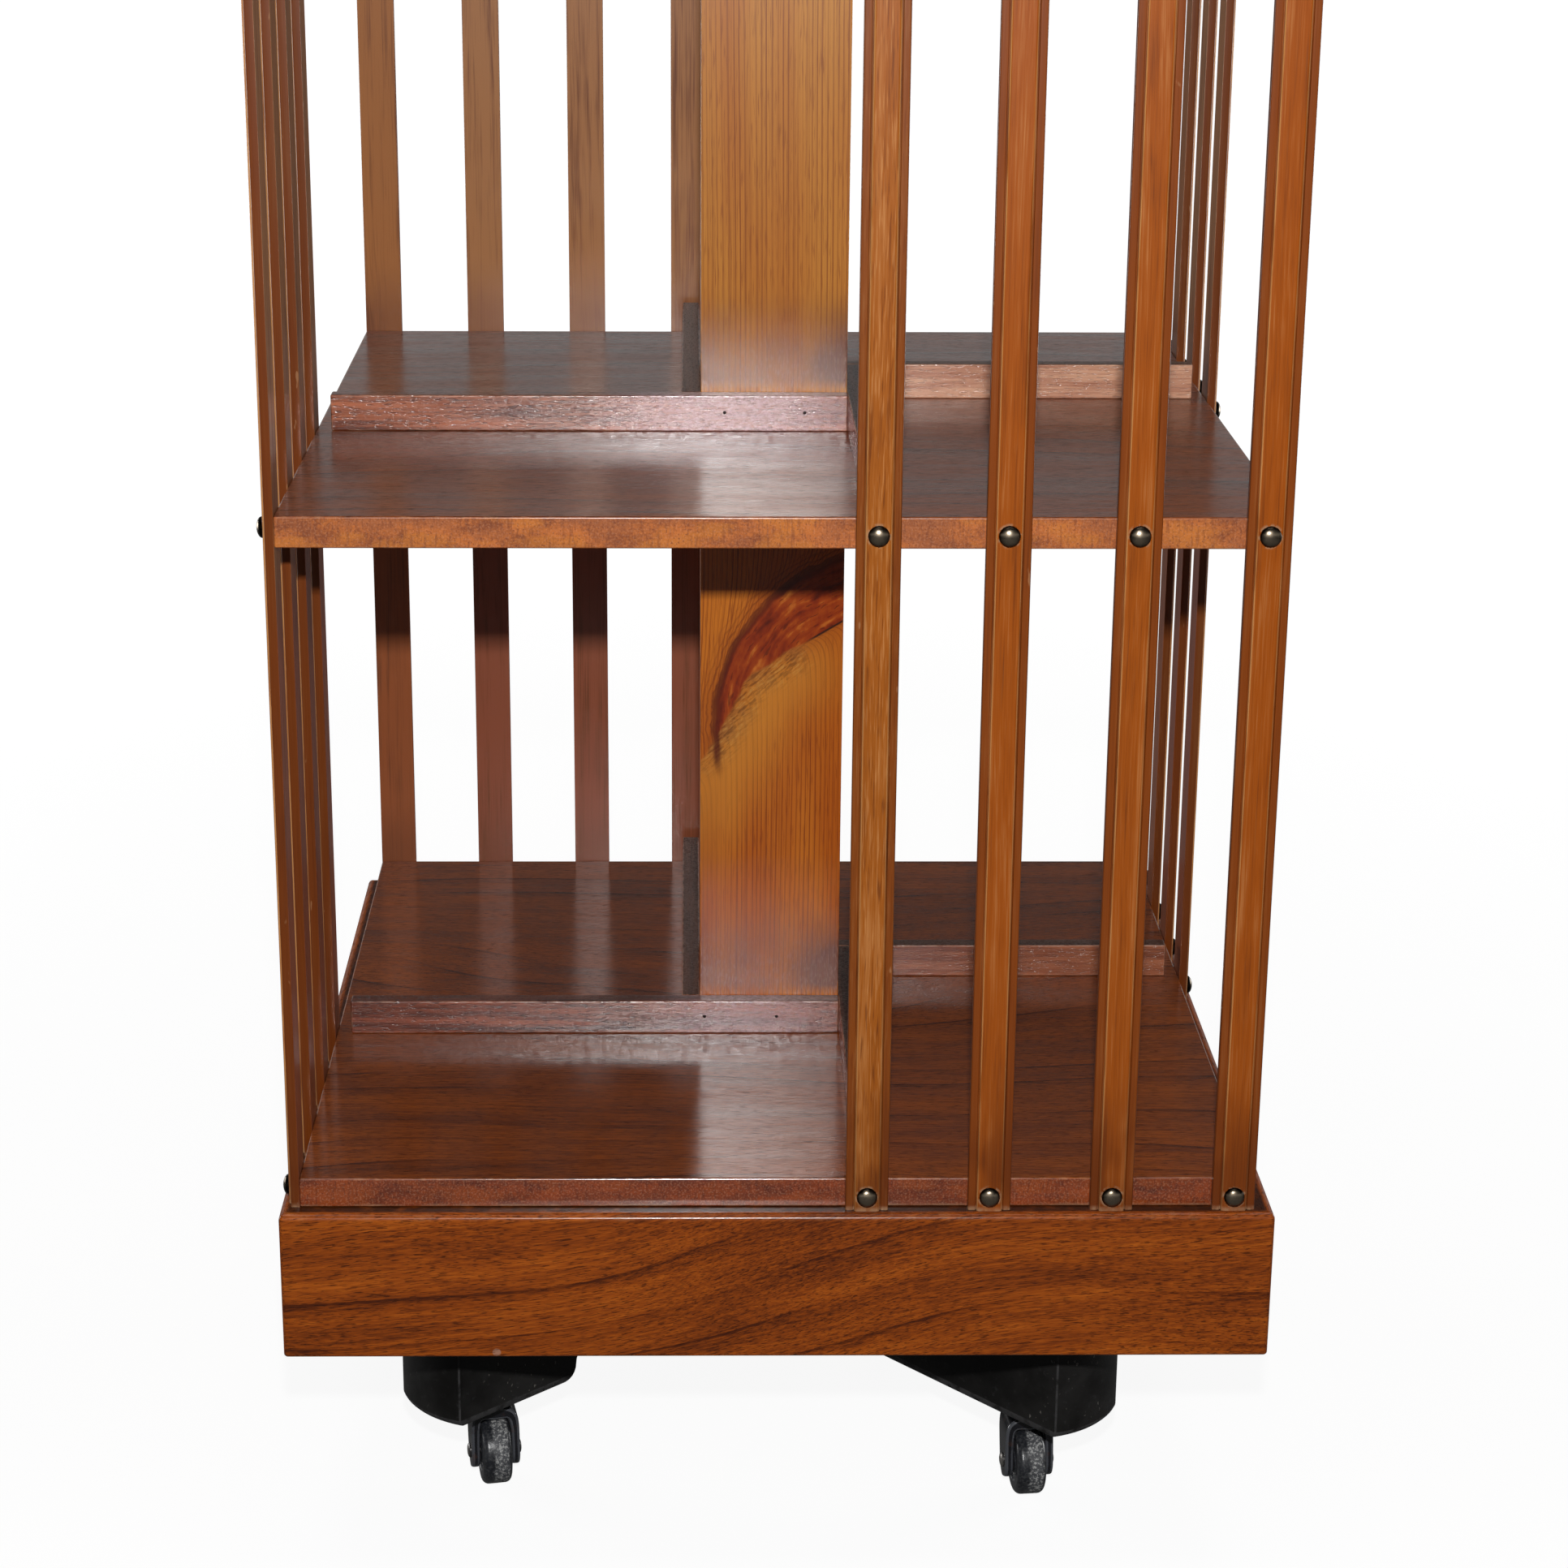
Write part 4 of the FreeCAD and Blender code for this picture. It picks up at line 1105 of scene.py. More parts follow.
def as_object(name: str, mesh: Mesh, place: Matrix | None = None) -> Piece:
    """Make an object of a mesh, with its faces outwards.

    Args:
        name: The object's name.
        mesh: The mesh, which is used up.
        place: Where its points go.

    Returns:
        The object, at the origin.
    """
    bmesh.ops.remove_doubles(mesh, verts=mesh.verts, dist=0.000001)
    bmesh.ops.recalc_face_normals(mesh, faces=mesh.faces)
    if place is not None:
        bmesh.ops.transform(mesh, matrix=place, verts=mesh.verts)
    return linked(name, mesh)


def merged(name: str, pieces: Sequence[Piece]) -> Piece:
    """Join objects that lie at the origin into one.

    Args:
        name: The new object's name.
        pieces: The objects, which are used up.

    Returns:
        The new object.
    """
    mesh = bmesh.new()
    for piece in pieces:
        mesh.from_mesh(piece.data)
    discard(pieces)
    return linked(name, mesh)


def cut(piece: Piece, tools: Sequence[Piece]) -> Piece:
    """Cut other objects' space out of a piece.

    Args:
        piece: The piece.
        tools: The cutting objects, which are used up.

    Returns:
        The piece.
    """
    for tool in tools:
        step = piece.modifiers.new("cut", "BOOLEAN")
        step.operation = "DIFFERENCE"
        step.solver = "EXACT"
        step.object = tool
    flattened(piece)
    discard(tools)
    return piece


def drill(radius: float, low: float, high: float, place: Pair = (0.0, 0.0)) -> Piece:
    """Return an upright cylinder to cut with."""
    tool = turned_mesh([(0, low), (radius, low), (radius, high), (0, high)])
    return as_object("drill", tool, Matrix.Translation((place[0], place[1], 0)))


def finished(piece: Piece, material: Material, body: str,
             nodes: Sequence[str], smooth_deg: float = 40.0) -> Piece:
    """Shade a piece, give it its material and tie it to its body.

    Args:
        piece: The piece, at the origin.
        material: Its material.
        body: The body that it moves with.
        nodes: The solids that it stands for.
        smooth_deg: Edges sharper than this stay sharp.

    Returns:
        The piece.
    """
    data = piece.data
    data.polygons.foreach_set("use_smooth", [True] * len(data.polygons))
    data.set_sharp_from_angle(angle=math.radians(smooth_deg))
    even = piece.modifiers.new("even", "WEIGHTED_NORMAL")
    even.keep_sharp = True
    even.weight = 60
    flattened(piece)
    piece.data.materials.clear()
    piece.data.materials.append(material)
    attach(piece, body)
    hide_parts(*nodes)
    log.info("%s: %d faces on %s", piece.name, len(piece.data.polygons), body)
    return piece


def dressed(nodes: Sequence[str], material: Material) -> None:
    """Give solids that keep their own shape a material.

    Args:
        nodes: Their names.
        material: The material.
    """
    for name in nodes:
        data = frame["nodes"][name].data
        if not data.materials:
            data.materials.append(material)
        for number in range(len(data.materials)):
            data.materials[number] = material
        log.info("%s keeps its shape", name)


# Geometry nodes


class Plan(Nodes):
    """A geometry-nodes tree with named inputs."""

    def __init__(self, name: str, inputs: dict[str, str]) -> None:
        """Start a tree.

        Args:
            name: The tree's name.
            inputs: The kind of each named input: Float, Int, Object or Material. One of them is Finish.
        """
        super().__init__(bpy.data.node_groups.new(name, "GeometryNodeTree"))
        self.tree.interface.new_socket("Geometry", in_out="OUTPUT", socket_type="NodeSocketGeometry")
        for label, kind in inputs.items():
            self.tree.interface.new_socket(label, in_out="INPUT", socket_type=f"NodeSocket{kind}")
        self.given = self.tree.nodes.new("NodeGroupInput").outputs

    def line(self, count: Any, start: Any, step: Any) -> Term:
        """Return a row of points."""
        inputs = {"Count": count, "Start Location": start, "Offset": step}
        return self.term("GeometryNodeMeshLine", inputs, mode="OFFSET")

    def shape_of(self, item: Socket) -> Term:
        """Return an object's mesh."""
        return self.term("GeometryNodeObjectInfo", {"Object": item}, "Geometry", transform_space="ORIGINAL")

    def copies(self, points: Term, item: Term, turn: Any = (0, 0, 0)) -> Term:
        """Return copies of a shape at points."""
        return self.term("GeometryNodeInstanceOnPoints", {"Points": points, "Instance": item, "Rotation": turn})

    def turned_by(self, item: Term, angle: Any) -> Term:
        """Return a shape that is turned about the Z axis."""
        return self.term("GeometryNodeTransform", {"Geometry": item, "Rotation": self.joined(z=angle)})

    def together(self, *items: Term) -> Term:
        """Return shapes joined."""
        node = self.add("GeometryNodeJoinGeometry")
        for item in items:
            self.feed(node.inputs[0], item)
        return Term(self, node.outputs[0])

    def labelled(self, item: Term, label: str, value: Any, domain: str = "POINT") -> Term:
        """Return a shape whose points or copies carry a number under a name."""
        inputs = {"Geometry": item, "Name": label, "Value": value}
        return self.term("GeometryNodeStoreNamedAttribute", inputs, data_type="FLOAT", domain=domain)

    def on_four_sides(self, item: Term) -> Term:
        """Return four copies of a shape, turned by quarters about the Z axis."""
        points = self.line(len(Side), (0, 0, 0), (0, 0, 0))
        number = self.term("GeometryNodeInputIndex")
        return self.copies(points, item, self.joined(z=number * (math.pi / 2)))

    def close(self, item: Term) -> None:
        """End the tree: the copies become a mesh and take the finish."""
        real = self.term("GeometryNodeRealizeInstances", {0: item})
        self.add("NodeGroupOutput", {
            0: self.term("GeometryNodeSetMaterial", {"Geometry": real, "Material": self.given["Finish"]})})

    def made(self, name: str, values: dict[str, Any]) -> Piece:
        """Run the tree.

        Args:
            name: The piece's name.
            values: A value for each input, by its name.

        Returns:
            A piece with a plain mesh.
        """
        piece = linked(name, bmesh.new())
        step = piece.modifiers.new("plan", "NODES")
        step.node_group = self.tree
        for item in self.tree.interface.items_tree:
            if item.in_out == "INPUT":
                step[item.identifier] = values[item.name]
        return flattened(piece)


# Sub-assemblies


def slat_places() -> dict[str, float]:
    """Return where the front's slats stand, as the slats' and the nails' trees take it."""
    low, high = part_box("front_slat_1")
    last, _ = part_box(f"front_slat_{SLATS_A_SIDE}")
    return {"First": (low.x + high.x) / 2, "Pitch": (last.x - low.x) / (SLATS_A_SIDE - 1), "Count": SLATS_A_SIDE}


def nail_heights() -> tuple[float, ...]:
    """Return the heights of the nails, at the middle of each shelf."""
    return tuple(sum(corner.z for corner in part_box(name)) / 2 for name in SHELVES)


def grain_of(side: Side) -> Grain:
    """Return the way that the grain of a side's boards runs."""
    return Grain.ALONG_X if side in (Side.FRONT, Side.BACK) else Grain.ALONG_Y


@dataclass
class Shelves:
    """The three boards of the case, each with softened edges."""

    arris: float = 1.0 * MM
    edge_tones: dict[str, Colour] = field(default_factory=lambda: {
        "bottom_shelf": tint(152, 66, 24), "middle_shelf": tint(206, 118, 60), "case_top": tint(164, 92, 42)})
    bores: dict[str, float] = field(default_factory=lambda: {
        "bottom_shelf": 17.65 * MM, "middle_shelf": 20.5 * MM})
    films: dict[str, Pair] = field(default_factory=lambda: {
        "bottom_shelf": (0.17, 1.88), "middle_shelf": (0.22, 1.66), "case_top": (0.22, 1.64)})

    def build(self) -> None:
        """Build the boards, with the holes that the pole and its bush pass."""
        for number, (name, tone) in enumerate(self.edge_tones.items()):
            low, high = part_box(name)
            piece = as_object(f"{name}_board", softened_box(low, high, self.arris))
            if name in self.bores:
                reach = high.z - low.z
                cut(piece, [drill(self.bores[name], low.z - reach, high.z + reach)])
            finish = Walnut(f"{name}_walnut", seed=1.7 + 2.3 * number, slope_deg=1.5 - 2 * number, edge=tone,
                            foot=low.z if name == "bottom_shelf" else None,
                            blotches=0.85 if name == "middle_shelf" else 1.0, figure=0.75, streak=(0.22, 0.02),
                            varnish=Varnish(1.0, *self.films[name]))
            finished(piece, finish.material(), "case", [name])


@dataclass
class TopBoard:
    """The wide top with its moulded edge."""

    foot_radius: float = 3.0 * MM
    mould_radius: float = 9.0 * MM
    step: float = 2.0 * MM
    corner: float = 2.5 * MM
    least_corner: float = 0.4 * MM
    arris: float = 0.6 * MM

    def build(self) -> None:
        """Build the board from rings that follow its moulding."""
        low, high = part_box("top_board")
        half = high.x
        shoulder = high.z - self.step
        foot = [(self.foot_radius - x, z) for x, z in
                arc((0, low.z + self.foot_radius), self.foot_radius, -90, 0, 4)]
        quarter = [(self.mould_radius - x, z) for x, z in
                   arc((0, shoulder - self.mould_radius), self.mould_radius, 0, 90, 8)]
        brim = self.mould_radius
        lip = [(brim, high.z - self.arris), (brim + 0.3 * self.arris, high.z - 0.3 * self.arris),
               (brim + self.arris, high.z)]
        rings = []
        for depth, height in foot + quarter + lip:
            corner = max(self.corner - depth * 0.2, self.least_corner)
            rings.append([Vector((x, y, height)) for x, y in rounded_square(half - depth, corner)])
        last = len(rings) - 1
        piece = as_object("top_board_panel", stacked(rings, (last - 2, last - 1)))
        finish = Walnut("top_walnut", seed=9.1, slope_deg=2.0, figure=0.85, streak=(0.25, 0.02))
        finished(piece, finish.material(), "case", ["top_board"])


@dataclass
class Plinth:
    """Four mitred rails with rounded top edges, and the blocks behind their corners."""

    thickness: float = 20.0 * MM
    top_radius: float = 3.5 * MM
    foot_radius: float = 1.5 * MM
    corner: float = 2.2 * MM
    mitre_gap: float = 0.06 * MM
    plug: Pair = (-142.0 * MM, 133.2 * MM)
    slopes_deg: dict[Side, float] = field(default_factory=lambda: {
        Side.FRONT: 7.5, Side.RIGHT: -4.0, Side.BACK: 5.0, Side.LEFT: 8.0})

    def rail(self, low: float, high: float, half: float) -> Mesh:
        """Return the front rail.

        Args:
            low: Its foot's height.
            high: Its top's height.
            half: The plinth's half width.

        Returns:
            The mesh, cut along both mitres.
        """
        foot = arc((self.foot_radius, low + self.foot_radius), self.foot_radius, 270, 180, 3)
        head = arc((self.top_radius, high - self.top_radius), self.top_radius, 180, 90, 6)
        section = [(self.thickness, low), *foot, *head, (self.thickness, high)]
        marked = set(range(1, len(foot))) | set(range(len(foot) + 1, len(foot) + len(head)))
        mesh = bmesh.new()
        layer = mesh.faces.layers.float.new("arris")
        columns = []
        angles = [225 + 45 * step / 4 for step in range(5)]
        corners = [(-1, angle) for angle in angles] + [(1, 540 - angle) for angle in reversed(angles)]
        for hand, angle in corners:
            column = []
            for depth, height in section:
                bend = max(self.corner - depth, 0.0)
                middle = half - max(self.corner, depth)
                x = hand * middle + bend * math.cos(math.radians(angle))
                y = -middle + bend * math.sin(math.radians(angle))
                slip = self.mitre_gap if abs(abs(x) - abs(y)) < 1e-7 else 0.0
                column.append(mesh.verts.new((x - hand * slip, y, height)))
            columns.append(column)
        count = len(section)
        for left, right in zip(columns, columns[1:]):
            for step in range(count):
                after = (step + 1) % count
                face = mesh.faces.new((left[step], right[step], right[after], left[after]))
                face[layer] = 1.0 if step in marked else 0.0
        mesh.faces.new(list(reversed(columns[0])))
        mesh.faces.new(columns[-1])
        bmesh.ops.dissolve_degenerate(mesh, dist=0.0000005, edges=mesh.edges)
        return mesh

    def build(self) -> None:
        """Build the rails and dress the blocks."""
        low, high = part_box("plinth_rail_front")
        brink = high.x - self.top_radius
        for side in Side:
            name = f"plinth_rail_{side.label}"
            piece = as_object(f"{name}_board", self.rail(low.z, high.z, high.x), side.turn)
            finish = Walnut(f"{name}_walnut", grain_of(side), seed=0.9 + 3.1 * side.value,
                            slope_deg=self.slopes_deg[side], ledge=(brink - 1.5 * MM, brink + 0.5 * MM),
                            plug=self.plug if side is Side.FRONT else None,
                            sweep=0.022, growth=36.0, figure=0.95, lines=0.6, worn=tint(176, 108, 60),
                            streak=(0.3, 0.016), pale=tint(190, 98, 28), middle=tint(152, 71, 17),
                            varnish=Varnish(weight=0.45))
            finished(piece, finish.material(), "case", [name])
        dressed(["plinth_glue_blocks"], RawWood().material())


@dataclass
class Slats:
    """Sixteen moulded slats, four to a side."""

    band_width: float = 3.7 * MM
    band_thickness: float = 4.5 * MM
    groove_width: float = 0.7 * MM
    groove_depth: float = 0.8 * MM
    shoulder: float = 1.3 * MM
    arris: float = 0.8 * MM
    back_arris: float = 0.3 * MM

    def section(self, width: float, thickness: float) -> list[Pair]:
        """Return a slat's outline in plan, its back on the X axis, counter-clockwise.

        Args:
            width: The slat's width.
            thickness: Its thickness in the middle.

        Returns:
            The outline's points.
        """
        edge = width / 2
        groove = edge - self.band_width
        raised = groove - self.groove_width
        round_edge = arc((edge - self.arris, self.arris - self.band_thickness), self.arris, 0, -90, 3)
        lip = arc((groove + self.arris / 3, self.arris / 3 - self.band_thickness), self.arris / 3, -90, -180, 2)
        root = [(groove - self.groove_width / 4, self.groove_depth - self.band_thickness),
                (raised + self.groove_width / 8, self.groove_depth - self.band_thickness)]
        bead = arc((raised - self.shoulder, self.shoulder - thickness), self.shoulder, 0, -90, 5)
        half = [(edge - self.back_arris, 0), (edge, -self.back_arris), *round_edge, *lip, *root, *bead]
        mirrored = [(-x, y) for x, y in reversed(half)]
        return list(reversed(half + mirrored))

    def plan(self) -> Plan:
        """Return the tree that raises a side's slats from their section."""
        plan = Plan("slat_row", {
            "Section": "Object", "Height": "Float", "Half Width": "Float", "First": "Float", "Pitch": "Float",
            "Thickness": "Float", "Count": "Int", "Back": "Float", "Foot": "Float", "Turn": "Float", "Seed": "Int",
            "Finish": "Material"})
        given = plan.given
        flat = plan.shape_of(given["Section"])
        raised = plan.term("GeometryNodeExtrudeMesh", {
            "Mesh": flat, "Offset": plan.joined(z=given["Height"]), "Offset Scale": 1.0, "Individual": False},
            mode="FACES")
        whole = plan.together(raised, plan.term("GeometryNodeFlipFaces", {"Mesh": flat}))
        slat = plan.term("GeometryNodeMergeByDistance", {"Geometry": whole, "Distance": 1e-6})
        x, y, _ = plan.parts(plan.term("GeometryNodeInputPosition"))
        slat = plan.labelled(slat, "across", x / given["Half Width"])
        slat = plan.labelled(slat, "depth", y / given["Thickness"])
        row = plan.line(given["Count"], plan.joined(given["First"], given["Back"], given["Foot"]),
                        plan.joined(given["Pitch"]))
        chance = plan.term("FunctionNodeRandomValue", {"Seed": given["Seed"]}, 1, data_type="FLOAT")
        slats = plan.labelled(plan.copies(row, slat), "shade", chance, "INSTANCE")
        plan.close(plan.turned_by(slats, given["Turn"]))
        return plan

    def build(self) -> None:
        """Build the slats of every side."""
        low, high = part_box("front_slat_1")
        width, thickness = high.x - low.x, high.y - low.y
        section = bmesh.new()
        section.faces.new([section.verts.new((x, y, 0)) for x, y in self.section(width, thickness)])
        pattern = linked("slat_section", section)
        plan = self.plan()
        material = SlatWood(width / 2, low.z, nail_heights()).material()
        for side in Side:
            piece = plan.made(f"{side.label}_slats", slat_places() | {
                "Section": pattern, "Height": high.z - low.z, "Half Width": width / 2, "Thickness": thickness,
                "Back": high.y, "Foot": low.z, "Turn": side.value * math.pi / 2,
                "Seed": SEEDS["slats"] + side.value, "Finish": material})
            nodes = [f"{side.label}_slat_{number}" for number in range(1, SLATS_A_SIDE + 1)]
            finished(piece, material, "case", nodes, smooth_deg=50)
        discard([pattern])


@dataclass
class Nails:
    """Round-headed nails, three to a slat."""

    head_radius: float = 5.2 * MM
    head_height: float = 3.3 * MM
    rim: float = 0.6 * MM
    shank: float = 1.1 * MM
    length: float = 9.0 * MM
    rim_round: float = 0.15 * MM
    lean_deg: float = 2.0
    steps: int = 8

    def nail(self) -> Piece:
        """Return one nail that points to +Y, with its head's seat at the origin."""
        shares = [step / self.steps for step in range(self.steps + 1)]
        crown = [(self.head_radius * math.sin(angle), -self.rim - (self.head_height - self.rim) * math.cos(angle))
                 for angle in (math.radians(90 * share) for share in shares)]
        crown[0] = (0, -self.head_height)
        profile = crown + [(self.head_radius, -self.rim_round), (self.head_radius - self.rim_round, 0),
                           (self.shank, 0), (self.shank, self.length), (0, self.length + self.shank)]
        wear = [1 - share ** 2 for share in shares] + [0.0] * (len(profile) - len(crown))
        mesh = turned_mesh(profile, wear, around=20)
        return as_object("nail", mesh, Matrix.Rotation(math.radians(-90), 4, "X"))

    def plan(self) -> Plan:
        """Return the tree that drives the nails along each side's slats."""
        plan = Plan("nail_rows", {
            "Nail": "Object", "First": "Float", "Pitch": "Float", "Count": "Int", "Face": "Float", "Low": "Float",
            "Middle": "Float", "High": "Float", "Lean": "Float", "Seed": "Int", "Finish": "Material"})
        given = plan.given
        rows = [plan.line(given["Count"], plan.joined(given["First"], given["Face"], given[row]),
                          plan.joined(given["Pitch"])) for row in ("Low", "Middle", "High")]
        most = given["Lean"]
        least = plan.math("MULTIPLY", most, -1.0)
        lean = plan.term("FunctionNodeRandomValue", {
            "Min": plan.joined(least, least, least), "Max": plan.joined(most, most, most), "Seed": given["Seed"]},
            data_type="FLOAT_VECTOR")
        nails = plan.copies(plan.together(*rows), plan.shape_of(given["Nail"]), lean)
        plan.close(plan.on_four_sides(nails))
        return plan

    def build(self) -> None:
        """Build the nails of all four sides as one piece."""
        low, middle, high = nail_heights()
        nail = self.nail()
        material = Bronze().material()
        piece = self.plan().made("nails", slat_places() | {
            "Nail": nail, "Face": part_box("front_slat_1")[0].y, "Low": low, "Middle": middle, "High": high,
            "Lean": math.radians(self.lean_deg), "Seed": SEEDS["nails"], "Finish": material})
        discard([nail])
        finished(piece, material, "case", ["slat_nails"])


@dataclass
class Column:
    """The hollow column: four boards in each tier."""

    board: float = 11.0 * MM
    arris: float = 0.5 * MM
    joint: float = 0.05 * MM
    knot: Knot = Knot()

    def build(self) -> None:
        """Build both tiers' boards."""
        low_floor, high_floor = (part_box(f"{tier.value}_column_boards")[0].z for tier in Tier)
        low_look: dict[str, Any] = {
            "varnish": Varnish(roughness=0.23, ior=1.54), "pale": tint(206, 118, 30), "middle": tint(184, 92, 16),
            "line": tint(124, 48, 5)}
        plain = Pine("column_pine", high_floor).material()
        knotted = Pine("knotted_pine", low_floor, knot=self.knot, **low_look).material()
        redder = Pine("low_pine", low_floor, **low_look).material()
        for tier in Tier:
            node = f"{tier.value}_column_boards"
            low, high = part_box(node)
            half, inside = high.x, high.x - self.board
            for side in Side:
                reach = half if side in (Side.FRONT, Side.BACK) else inside - self.joint
                mesh = softened_box(Vector((-reach, -half, low.z)), Vector((reach, -inside, high.z)), self.arris)
                piece = as_object(f"{tier.value}_column_{side.label}", mesh, side.turn)
                wood = plain if tier is Tier.UPPER else knotted if side is Side.FRONT else redder
                finished(piece, wood, "case", [node])


@dataclass
class BookStops:
    """Strips that keep the books off the column, each held by two small nails."""

    arris: float = 0.8 * MM
    nail_radius: float = 0.9 * MM
    nail_taper: float = 0.8
    nail_depth: float = 3.0 * MM
    nail_drop: float = 9.0 * MM
    nails: dict[Tier, Pair] = field(default_factory=lambda: {
        Tier.LOWER: (-36.0 * MM, 4.0 * MM), Tier.UPPER: (-26.0 * MM, 16.0 * MM)})

    def hole(self, place: Matrix) -> Piece:
        """Return a nail's space, to cut with, whose arris mark of -1 makes the hole dark.

        Args:
            place: Where the hole's mouth goes from the origin.

        Returns:
            The cutting object.
        """
        before = -0.2 * OVERCUT
        mesh = turned_mesh([(0, before), (self.nail_radius, before), (self.nail_radius, 0),
                            (self.nail_radius * self.nail_taper, self.nail_depth), (0, self.nail_depth)], around=16)
        mark = mesh.faces.layers.float.new("arris")
        for face in mesh.faces:
            face[mark] = -1.0
        return as_object("hole", mesh, place @ Matrix.Rotation(-math.pi / 2, 4, "X"))

    def build(self) -> None:
        """Build the eight strips with their nail holes."""
        reddish = {"pale": tint(186, 106, 70), "dark": tint(88, 36, 18)}
        darker = {"pale": tint(156, 80, 52), "dark": tint(70, 26, 13)}
        pinkish = {"pale": tint(238, 184, 150), "dark": tint(182, 120, 92), "coarse": 0.5}
        dusky = {"pale": tint(176, 106, 72), "dark": tint(112, 56, 36), "coarse": 0.4}
        # Painted glare on the front strips: middle, reach and strength for each tier.
        painted_glares = {Tier.LOWER: (-14.0 * MM, 62.0 * MM, 0.42), Tier.UPPER: (-24.0 * MM, 84.0 * MM, 0.95)}
        for tier in Tier:
            low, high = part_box(f"{tier.value}_book_stop_front")
            back = pinkish if tier is Tier.UPPER else dusky
            for side in Side:
                name = f"{tier.value}_book_stop_{side.label}"
                front = side is Side.FRONT
                look = back if side is Side.BACK else darker if front and tier is Tier.LOWER else reddish
                wood = StopWood(f"{name}_wood", grain_of(side), dust=0.3 if front else 0.8,
                                bloom=painted_glares[tier] if front else StopWood.bloom, **look).material()
                piece = as_object(f"{name}_strip", softened_box(low, high, self.arris), side.turn)
                cut(piece, [self.hole(side.turn @ Matrix.Translation((across, low.y, high.z - self.nail_drop)))
                            for across in self.nails[tier]])
                finished(piece, wood, "case", [name])


@dataclass(frozen=True)
class Screw:
    """A countersunk screw's sizes."""

    shank: float
    head: float
    length: float


@dataclass
class Pivot:
    """The pole, its flange, nut, bush and cup, and all countersunk screws."""

    bearing_screw: Screw = Screw(3.5 * MM, 7.0 * MM, 14.0 * MM)
    flange_screw: Screw = Screw(5.5 * MM, 10.5 * MM, 36.0 * MM)
    top_screw: Screw = Screw(4.0 * MM, 8.0 * MM, 28.0 * MM)
    slot_width: float = 1.0 * MM
    slot_depth: float = 1.1 * MM
    bush_screw_radius: float = 25.05 * MM
    cup_screw_radius: float = 18.5 * MM
    flange_screw_radius: float = 31.1 * MM
    top_screw_inset: float = 46.0 * MM
    top_screw_spacing: float = 150.0 * MM
    flange_thickness: float = 6.0 * MM
    cup_flange: float = 5.0 * MM
    edge_round: float = 0.1 * MM

    def screw(self, size: Screw) -> Piece:
        """Return a slotted countersunk screw that points down from the origin.

        Args:
            size: Its sizes.

        Returns:
            The screw.
        """
        head, shank, length = size.head, size.shank / 2, size.length
        neck = (head - size.shank) / 2
        profile = [(0, 0), (head / 2 - self.edge_round, 0), (head / 2, -self.edge_round), (shank, -neck),
                   (shank, -0.75 * length), (0, -length)]
        piece = as_object("screw", turned_mesh(profile, [0.8, 0.6, 1, 0, 0, 0], around=24))
        reach = Vector((head, self.slot_width / 2, self.slot_depth))
        return cut(piece, [as_object("slot", softened_box(-reach, reach, 0.05 * MM, 1))])

    def plan(self) -> Plan:
        """Return the tree that sets screws in a ring or in rows on four sides."""
        plan = Plan("screw_places", {
            "Screw": "Object", "Per Side": "Int", "First": "Float", "Pitch": "Float", "Depth": "Float",
            "Height": "Float", "Tip": "Float", "Turn": "Float", "Seed": "Int", "Finish": "Material"})
        given = plan.given
        row = plan.line(given["Per Side"], plan.joined(given["First"], given["Depth"], given["Height"]),
                        plan.joined(given["Pitch"]))
        twist = plan.term("FunctionNodeRandomValue", {2: 0.0, 3: math.pi, "Seed": given["Seed"]}, 1,
                          data_type="FLOAT")
        screws = plan.copies(row, plan.shape_of(given["Screw"]), plan.joined(given["Tip"], 0.0, twist))
        plan.close(plan.turned_by(plan.on_four_sides(screws), given["Turn"]))
        return plan

    def build(self) -> None:
        """Build the screws and dress the fittings."""
        iron = WornIron("fitting_iron", base=tint(62, 58, 55), bare=tint(150, 146, 140), metal=0.7, roughness=0.42)
        steel = WornIron("pole_steel", base=tint(128, 126, 124), bare=tint(176, 174, 172), rust=tint(122, 88, 66),
                         metal=0.9, roughness=0.34, rubbing=0.4)
        metal = iron.material()
        dressed(["thrust_cup", "guide_bush", "pole_flange", "pole_nut", "caster_sockets"], metal)
        dressed(["pole"], steel.material())
        plan = self.plan()
        (_, _, case_top), (half, _, _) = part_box("case_top")
        bush_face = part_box("guide_bush")[0].z
        flange_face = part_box("lower_cross_beam")[1].z + self.flange_thickness
        sizes = (self.bearing_screw, self.flange_screw, self.top_screw)
        small, large, medium = tools = [self.screw(size) for size in sizes]
        ring = {"Per Side": 1, "First": 0.0, "Pitch": 0.0, "Finish": metal}
        bearing = ring | {"Screw": small, "Tip": math.pi, "Turn": math.pi / 4}
        bush = plan.made("bush_screws", bearing | {
            "Depth": -self.bush_screw_radius, "Height": bush_face, "Seed": SEEDS["bush_screws"]})
        cup = plan.made("cup_screws", bearing | {
            "Depth": -self.cup_screw_radius, "Height": case_top - self.cup_flange, "Seed": SEEDS["cup_screws"]})
        finished(merged("bearing_screws", [bush, cup]), metal, "case", ["fitting_screws"])
        flange = plan.made("pole_flange_screws", ring | {
            "Screw": large, "Depth": -self.flange_screw_radius, "Height": flange_face, "Tip": 0.0,
            "Turn": math.pi / 4 + math.radians(CROSS_TURN_DEG), "Seed": SEEDS["flange_screws"]})
        finished(flange, metal, "base", ["flange_screws"])
        top = plan.made("top_screws", {
            "Screw": medium, "Per Side": 2, "First": -self.top_screw_spacing, "Pitch": 2 * self.top_screw_spacing,
            "Depth": self.top_screw_inset - half, "Height": case_top, "Tip": math.pi, "Turn": 0.0,
            "Seed": SEEDS["top_screws"], "Finish": metal})
        finished(top, metal, "case", ["top_board_screws"])
        discard(tools)


